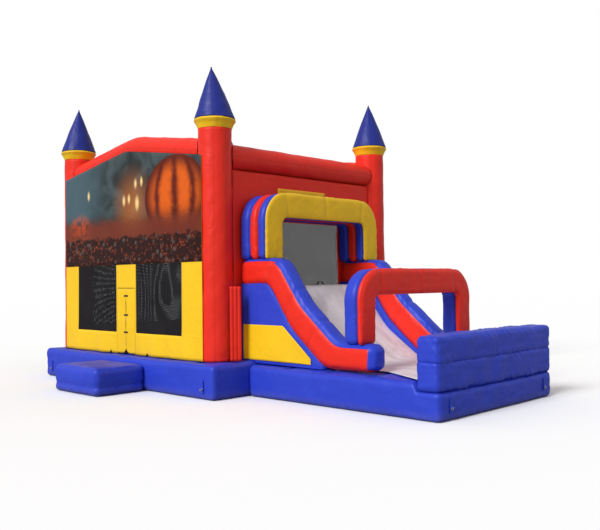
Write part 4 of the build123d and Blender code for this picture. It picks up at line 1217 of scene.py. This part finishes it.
# Side chambers of the slide: blue walls from the walls' foot line down to the base, a little further in.
# Each has a yellow patch sewn on it, flat on the cloth and with its corners under the tube.
SIDE_KNOTS = ((core_low.x, 1.56), (2.555, 1.56), (2.985, 0.96), (3.56, core_low.z + 0.03))
patch_low, patch_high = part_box("side_patches")
PATCH_BEND_X = 2.855
PATCH_END_RISE = 0.05
PATCH_SHORT = 0.03
PATCH_THICK = 0.004
patch_surfaces, patch_distances, patch_area = [], [], 0.0
for side, seed in (("near", 161), ("far", 171)):
    low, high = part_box("slide_side_" + side)
    outer_y, inner_y = (low.y, high.y) if side == "near" else (high.y, low.y)
    stations = grid_lines(low.x + 0.002, high.x - 0.01, 0.025)
    rise = np.linspace(0, 1, 44)
    x, share = np.meshgrid(stations, rise, indexing="ij")
    top = eased_line(SIDE_KNOTS, x, 0.08)
    foot = np.where(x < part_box("slide_base")[0].x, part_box("bounce_floor")[1].z - 0.02, core_low.z - 0.006)
    z = foot + share * (top - foot)
    face = np.stack((x, np.full_like(x, outer_y), z), axis=-1)
    flat = face.reshape(-1, 3)
    away = np.minimum(np.minimum(x - low.x, z - foot), np.maximum(top - z, 0)).ravel()
    out = 0.010 * (1 - np.exp(-away / 0.06)) + 0.006 * folds(flat, 0.5, seed) + 0.0025 * folds(flat, 0.2, seed + 1)
    out += 0.006 * puckers(away, flat[:, 0] + flat[:, 2], 0.06, 0.12)
    out = out * np.clip(away / 0.04, 0, 1) - 0.012
    sign = -1 if side == "near" else 1
    face[..., 1] += sign * out.reshape(x.shape)
    back = face.copy()
    back[..., 1] = inner_y
    grid = np.concatenate((face, back[:, ::-1]), axis=1)
    grid = np.concatenate((grid[:1].mean(axis=1, keepdims=True) + 0 * grid[:1], grid,
                           grid[-1:].mean(axis=1, keepdims=True) + 0 * grid[-1:]))
    points, quads, _ = closed_grid(grid)
    chamber = fit_piece("slide_chamber_" + side, points, quads, blue_vinyl, "blue_vinyl", ["slide_side_" + side])

    def patch_place(x, share):
        """A patch's points, on the chamber's swollen face; its top runs down the slope of the tube."""
        stops = (patch_low.x, PATCH_BEND_X, patch_high.x)
        top = np.interp(x, stops, (patch_high.z, patch_high.z, patch_low.z + PATCH_END_RISE))
        z = patch_low.z + share * (top - patch_low.z)
        out = 0.006 * folds(np.stack((x, 0 * x + outer_y, z), axis=1), 0.5, seed) + 0.006
        return np.stack((x, outer_y + sign * out, z), axis=1)

    points, quads, area, _, b = sheet_surface(
        grid_lines(patch_low.x, patch_high.x - PATCH_SHORT, 0.03), np.linspace(0, 1, 18), patch_place, (),
        (0, -sign * PATCH_THICK, 0),
    )
    patch_surfaces.append((points, quads))
    patch_distances.append(np.minimum(b, 1 - b) * 0.45 + 0.006)
    patch_area += area
patches = fit_piece(
    "side_patch_sheets", *together(patch_surfaces), yellow_vinyl, "yellow_vinyl", ["side_patches"],
    distance=np.concatenate(patch_distances),
)

# Tunnel over the top of the slide: three arched tubes one behind another, blue, red and blue,
# and a yellow front sewn on the last. They stand on the walls and are tied to the house.
def arch_lines(half, leg, foot, top, band, outer_round, inner_round):
    """An arch's outer and inner lines as matching (Y, Z) points: straight legs, quarter turns at the
    two corners and a straight top."""
    outer, inner = [], []
    turns = np.linspace(math.pi, math.pi / 2, 13)
    for mirror in (1, -1):
        line_out = [(-half, foot)] + [
            (-half + outer_round + outer_round * math.cos(t), top - outer_round + outer_round * math.sin(t)) for t in turns]
        line_in = [(-half + leg, foot)] + [
            (-half + leg + inner_round + inner_round * math.cos(t), top - band - inner_round + inner_round * math.sin(t))
            for t in turns]
        if mirror == -1:
            line_out = [(-y, z) for y, z in line_out[::-1]]
            line_in = [(-y, z) for y, z in line_in[::-1]]
        outer += line_out
        inner += line_in
    return outer, inner


def arched_tube(name, node, material, slot, sizes, rounding, swell, seed):
    """A blown-up arch over the slide's middle, from a straight block bent along its two lines."""
    low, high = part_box(node)
    outer, inner = arch_lines(*sizes)
    walk, outer_line, inner_line = two_lines(outer, inner, 0.05)
    depth = sizes[4]
    points, quads, distance = inflated_block(
        (0.0, low.x + 0.006, 0.008), (walk[-1], high.x - 0.006, depth - 0.008), rounding, 0.022,
        [(0, walk[-1] * share) for share in (0.26, 0.5, 0.74)], swell, 0.004, seed, flat_foot=False)
    points = on_lines(points, walk, outer_line, inner_line, depth, (1, 2))
    points[:, 1] += SLIDE_Y
    tube = fit_piece(name, points, quads, material, slot, [node], distance=distance)


TUNNEL_SIZES = (1.220, 0.330, 1.9, 2.83, 0.36, 0.40, 0.10)
EXIT_SIZES = (1.240, 0.310, 0.803, 1.73, 0.34, 0.40, 0.07)
arched_tube("tunnel_arch_rear", "tunnel_rib_rear", blue_vinyl, "blue_vinyl", TUNNEL_SIZES, 0.065, 0.012, 181)
arched_tube("tunnel_arch_middle", "tunnel_rib_middle", red_vinyl, "red_vinyl", TUNNEL_SIZES, 0.060, 0.012, 182)
arched_tube("tunnel_arch_front", "tunnel_rib_front", blue_vinyl, "blue_vinyl", TUNNEL_SIZES, 0.060, 0.012, 183)
arched_tube("tunnel_arch_face", "tunnel_front", yellow_vinyl, "yellow_vinyl", TUNNEL_SIZES, 0.019, 0.010, 184)

# Arch over the slide's exit: a blue band with a red front, standing on the low part of the walls.
arched_tube("exit_arch_back_tube", "exit_arch_band", blue_vinyl, "blue_vinyl", EXIT_SIZES, 0.055, 0.012, 185)
arched_tube("exit_arch_face", "exit_arch_front", red_vinyl, "red_vinyl", EXIT_SIZES, 0.034, 0.014, 186)

# Joining flap: a narrow red strip between the front right tower and the slide. It hides the seam where
# the slide is tied to the house, and it is pleated down its length.
flap_low, flap_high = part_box("joining_flap")
FLAP_WIDE = 0.163
FLAP_THICK = 0.006
FLAP_TURN = math.radians(64)
flap_middle = (flap_low + flap_high) / 2


def pleated_place(u, z):
    """The flap's points: across its turned width, with three soft pleats that fade towards its ends."""
    pleat = 0.010 * np.abs(np.sin(3 * math.pi * (u / FLAP_WIDE + 0.5))) + 0.004 * np.sin(5 * z + 20 * u)
    return np.stack((
        flap_middle.x + u * math.cos(FLAP_TURN) + pleat * math.sin(FLAP_TURN),
        flap_middle.y + u * math.sin(FLAP_TURN) - pleat * math.cos(FLAP_TURN),
        z,
    ), axis=1)


points, quads, _, a, _ = sheet_surface(
    grid_lines(-FLAP_WIDE / 2, FLAP_WIDE / 2, 0.006), grid_lines(flap_low.z, flap_high.z, 0.03), pleated_place, (),
    (-FLAP_THICK * math.sin(FLAP_TURN), FLAP_THICK * math.cos(FLAP_TURN), 0))
pleat_line = np.abs(a / FLAP_WIDE * 3 - np.round(a / FLAP_WIDE * 3 - 0.5) - 0.5) * FLAP_WIDE / 3
joining = fit_piece("joining_strip", points, quads, red_vinyl, "red_vinyl", ["joining_flap"], distance=pleat_line + 0.004)

# Climb: four blown-up blue steps inside the house, up to the platform at the head of the slide.
# Two loops of black webbing at the top are there to hold on to.
climb_low, climb_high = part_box("climb_steps")
STEPS = 4
tread = (climb_high.x - climb_low.x) / STEPS
rise = (climb_high.z - climb_low.z) / STEPS
step_surfaces, step_distances = [], []
for number in range(STEPS):
    x0 = climb_low.x + number * tread
    step_low = (x0 + 0.008, climb_low.y + 0.01, climb_low.z)
    step_end = min(x0 + tread + 0.04, climb_high.x - 0.004)
    step_high = (step_end, climb_high.y - 0.01, climb_low.z + (number + 1) * rise - 0.008)
    points, quads, distance = inflated_block(step_low, step_high, 0.05, 0.04, (), 0.008, 0.004, 201 + number)
    step_surfaces.append((points, quads))
    step_distances.append(distance)
climb = fit_piece(
    "climb_treads", *together(step_surfaces), blue_vinyl, "blue_vinyl", ["climb_steps"],
    distance=np.concatenate(step_distances),
)

handle_low, handle_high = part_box("climb_handles")
HANDLE_RADIUS = 0.067
HANDLE_INSET = 0.07
HANDLE_THICK = 0.003
handle_foot = climb_high.z - 0.002
handle_surfaces = []
for handle_y in (handle_low.y + HANDLE_INSET, handle_high.y - HANDLE_INSET):
    def handle_place(x, turn):
        """A handle's points: a half ring that stands on the top step."""
        y = handle_y + HANDLE_RADIUS * np.cos(turn)
        return np.stack((x, y, handle_foot + HANDLE_RADIUS * np.sin(turn)), axis=1)

    points, quads, *_ = sheet_surface(
        grid_lines(handle_low.x, handle_high.x, 0.006), np.linspace(0, math.pi, 28), handle_place, (), (0, 0, 0))
    out = points[:len(points) // 2] - np.array((0, handle_y, handle_foot))
    out[:, 0] = 0
    out /= np.linalg.norm(out, axis=1, keepdims=True)
    points[len(points) // 2:] += HANDLE_THICK * out
    handle_surfaces.append((points, quads))
handles = fit_piece("climb_loops", *together(handle_surfaces), webbing, "black_webbing", ["climb_handles"])

# Ground anchors: a tab of the base's own blue cloth with a loop at its middle, sewn on at six places, and
# a steel ring that hangs in each loop, for a stake or a sandbag.
anchor_steel, anchor_shader = plain_finish("ring_steel", (0.50, 0.51, 0.53), 0.35, 1.0)
steel_tree = anchor_steel.node_tree
worn = noise(steel_tree, object_place(steel_tree), 60, 3)
steel_tree.links.new(mixed(steel_tree, worn, (0.34, 0.35, 0.37), (0.62, 0.63, 0.65)), anchor_shader.inputs["Base Color"])
steel_tree.links.new(scaled(steel_tree, worn, 0.3, 0.2), anchor_shader.inputs["Roughness"])
BAR_OUT = 0.011
BAR_Z = 0.150
TAB_HALF = 0.029
LOOP_HALF = 0.019
tab_low, tab_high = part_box("anchor_straps")
tab_surfaces = []
for corner in ("front_left", "front_right", "back_left", "back_right", "slide_near", "slide_far"):
    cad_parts["ring_" + corner].data.materials.clear()
    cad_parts["ring_" + corner].data.materials.append(anchor_steel)
    ring_low, ring_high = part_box("ring_" + corner)
    middle = (ring_low + ring_high) / 2
    outwards = Vector((1, 0, 0)) if corner.startswith("slide") else Vector((0, -1 if "front" in corner else 1, 0))
    sideways = Vector((-outwards.y, outwards.x, 0))
    face = Vector((middle.x, middle.y, 0)) - outwards * BAR_OUT

    def tab_place(u, z):
        """The tab's points: flat on the base, and out over the ring's bar in the middle of its width."""
        round_bar = BAR_OUT * np.exp(-(((z - BAR_Z) / 0.009) ** 2)) * (np.abs(u) < 0.0195)
        out = 0.001 + round_bar
        return np.stack((
            face.x + sideways.x * u + outwards.x * out, face.y + sideways.y * u + outwards.y * out, z), axis=1)

    points, quads, *_ = sheet_surface(
        grid_lines(-TAB_HALF, TAB_HALF, 0.004, (-LOOP_HALF, LOOP_HALF)), grid_lines(tab_low.z, tab_high.z, 0.003),
        tab_place, (), tuple(0.002 * outwards),
    )
    tab_surfaces.append((points, quads))
tabs = fit_piece("anchor_tabs", *together(tab_surfaces), blue_vinyl, "blue_vinyl", ["anchor_straps"])

# Blower sleeve: a long blue cuff on the back of the base, which is drawn over the blower's mouth and
# tied there with a black strap. With no blower in it, it still stands round and a little wrinkled.
sleeve_low, sleeve_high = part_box("blower_sleeve")
sleeve_middle = (sleeve_low + sleeve_high) / 2
CUFF_COLUMNS = 72
CUFF_RADIUS = 0.150
CUFF_THICK = 0.006
CUFF_ROOT = 0.03


def cuff(y_lines, outer, thick, seed, depth):
    """A tube along Y with a wall: its outer surface out, its inner one back, and folds in both."""
    angle = np.arange(CUFF_COLUMNS) * 2 * math.pi / CUFF_COLUMNS
    rows = []
    for lines, radius in ((y_lines, outer), (y_lines[::-1], outer - thick), (y_lines[:1], outer)):
        for y in lines:
            rows.append(np.stack((
                sleeve_middle.x + radius * np.cos(angle), np.full(CUFF_COLUMNS, y), sleeve_middle.z + radius * np.sin(angle)), axis=1))
    grid = np.array(rows)
    flat = grid.reshape(-1, 3)
    heading = flat - np.array((sleeve_middle.x, 0, sleeve_middle.z))
    heading[:, 1] = 0
    heading /= np.linalg.norm(heading, axis=1, keepdims=True)
    centre_line = np.array((sleeve_middle.x, 0, sleeve_middle.z)) + outer * heading + flat * (0, 1, 0)
    flat = flat + (depth * (folds(centre_line, 0.13, seed) - 1))[:, None] * heading
    return closed_grid(flat.reshape(grid.shape))[:2]


points, quads = cuff(
    grid_lines(sleeve_low.y - CUFF_ROOT, sleeve_high.y, 0.015), CUFF_RADIUS, CUFF_THICK, 211, 0.003)
sleeve = fit_piece("blower_cuff", points, quads, blue_vinyl, "blue_vinyl", ["blower_sleeve"])
tie_low, tie_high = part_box("sleeve_strap")
points, quads = cuff(grid_lines(tie_low.y, tie_high.y, 0.005), 0.1515, 0.003, 211, 0.001)
cuff_tie = fit_piece("blower_cuff_strap", points, quads, webbing, "black_webbing", ["sleeve_strap"])

# Deflation zipper: a black tape sewn on the back of the base, with a metal slider that runs on its teeth.
# It is opened to let the air out fast.
tape_low, tape_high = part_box("zipper_tape")
tape_material, tape_shader = plain_finish("zipper_tape", (0.012, 0.012, 0.014), 0.7)
tape_tree = tape_material.node_tree
tape_parts = tape_tree.nodes.new("ShaderNodeSeparateXYZ")
tape_tree.links.new(object_place(tape_tree), tape_parts.inputs[0])
tooth = calc(tape_tree, "FRACT", calc(tape_tree, "DIVIDE", tape_parts.outputs["X"], 0.005))
near_middle = calc(tape_tree, "LESS_THAN", calc(tape_tree, "ABSOLUTE", calc(
    tape_tree, "SUBTRACT", tape_parts.outputs["Z"], (tape_low.z + tape_high.z) / 2)), 0.004)
on_tooth = calc(tape_tree, "MULTIPLY", near_middle, calc(tape_tree, "GREATER_THAN", tooth, 0.45))
tape_tree.links.new(mixed(tape_tree, on_tooth, (0.010, 0.010, 0.012), (0.10, 0.10, 0.11)), tape_shader.inputs["Base Color"])


def tape_place(x, z):
    """The tape's points, flat on the back of the base."""
    return np.stack((x, np.full_like(x, tape_low.y + 0.0005), z), axis=1)


points, quads, *_ = sheet_surface(
    grid_lines(tape_low.x, tape_high.x, 0.02), grid_lines(tape_low.z, tape_high.z, 0.005), tape_place, (), (0, 0.0012, 0))
tape = fit_piece("zipper_band", points, quads, tape_material, "black_webbing", ["zipper_tape"])
slider_metal, slider_shader = plain_finish("slider_metal", (0.32, 0.32, 0.34), 0.4, 1.0)
slider_tree = slider_metal.node_tree
slider_worn = noise(slider_tree, object_place(slider_tree), 90, 3)
slider_tree.links.new(scaled(slider_tree, slider_worn, 0.3, 0.25), slider_shader.inputs["Roughness"])
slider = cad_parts["zipper_slider"]
slider.data.materials.clear()
slider.data.materials.append(slider_metal)
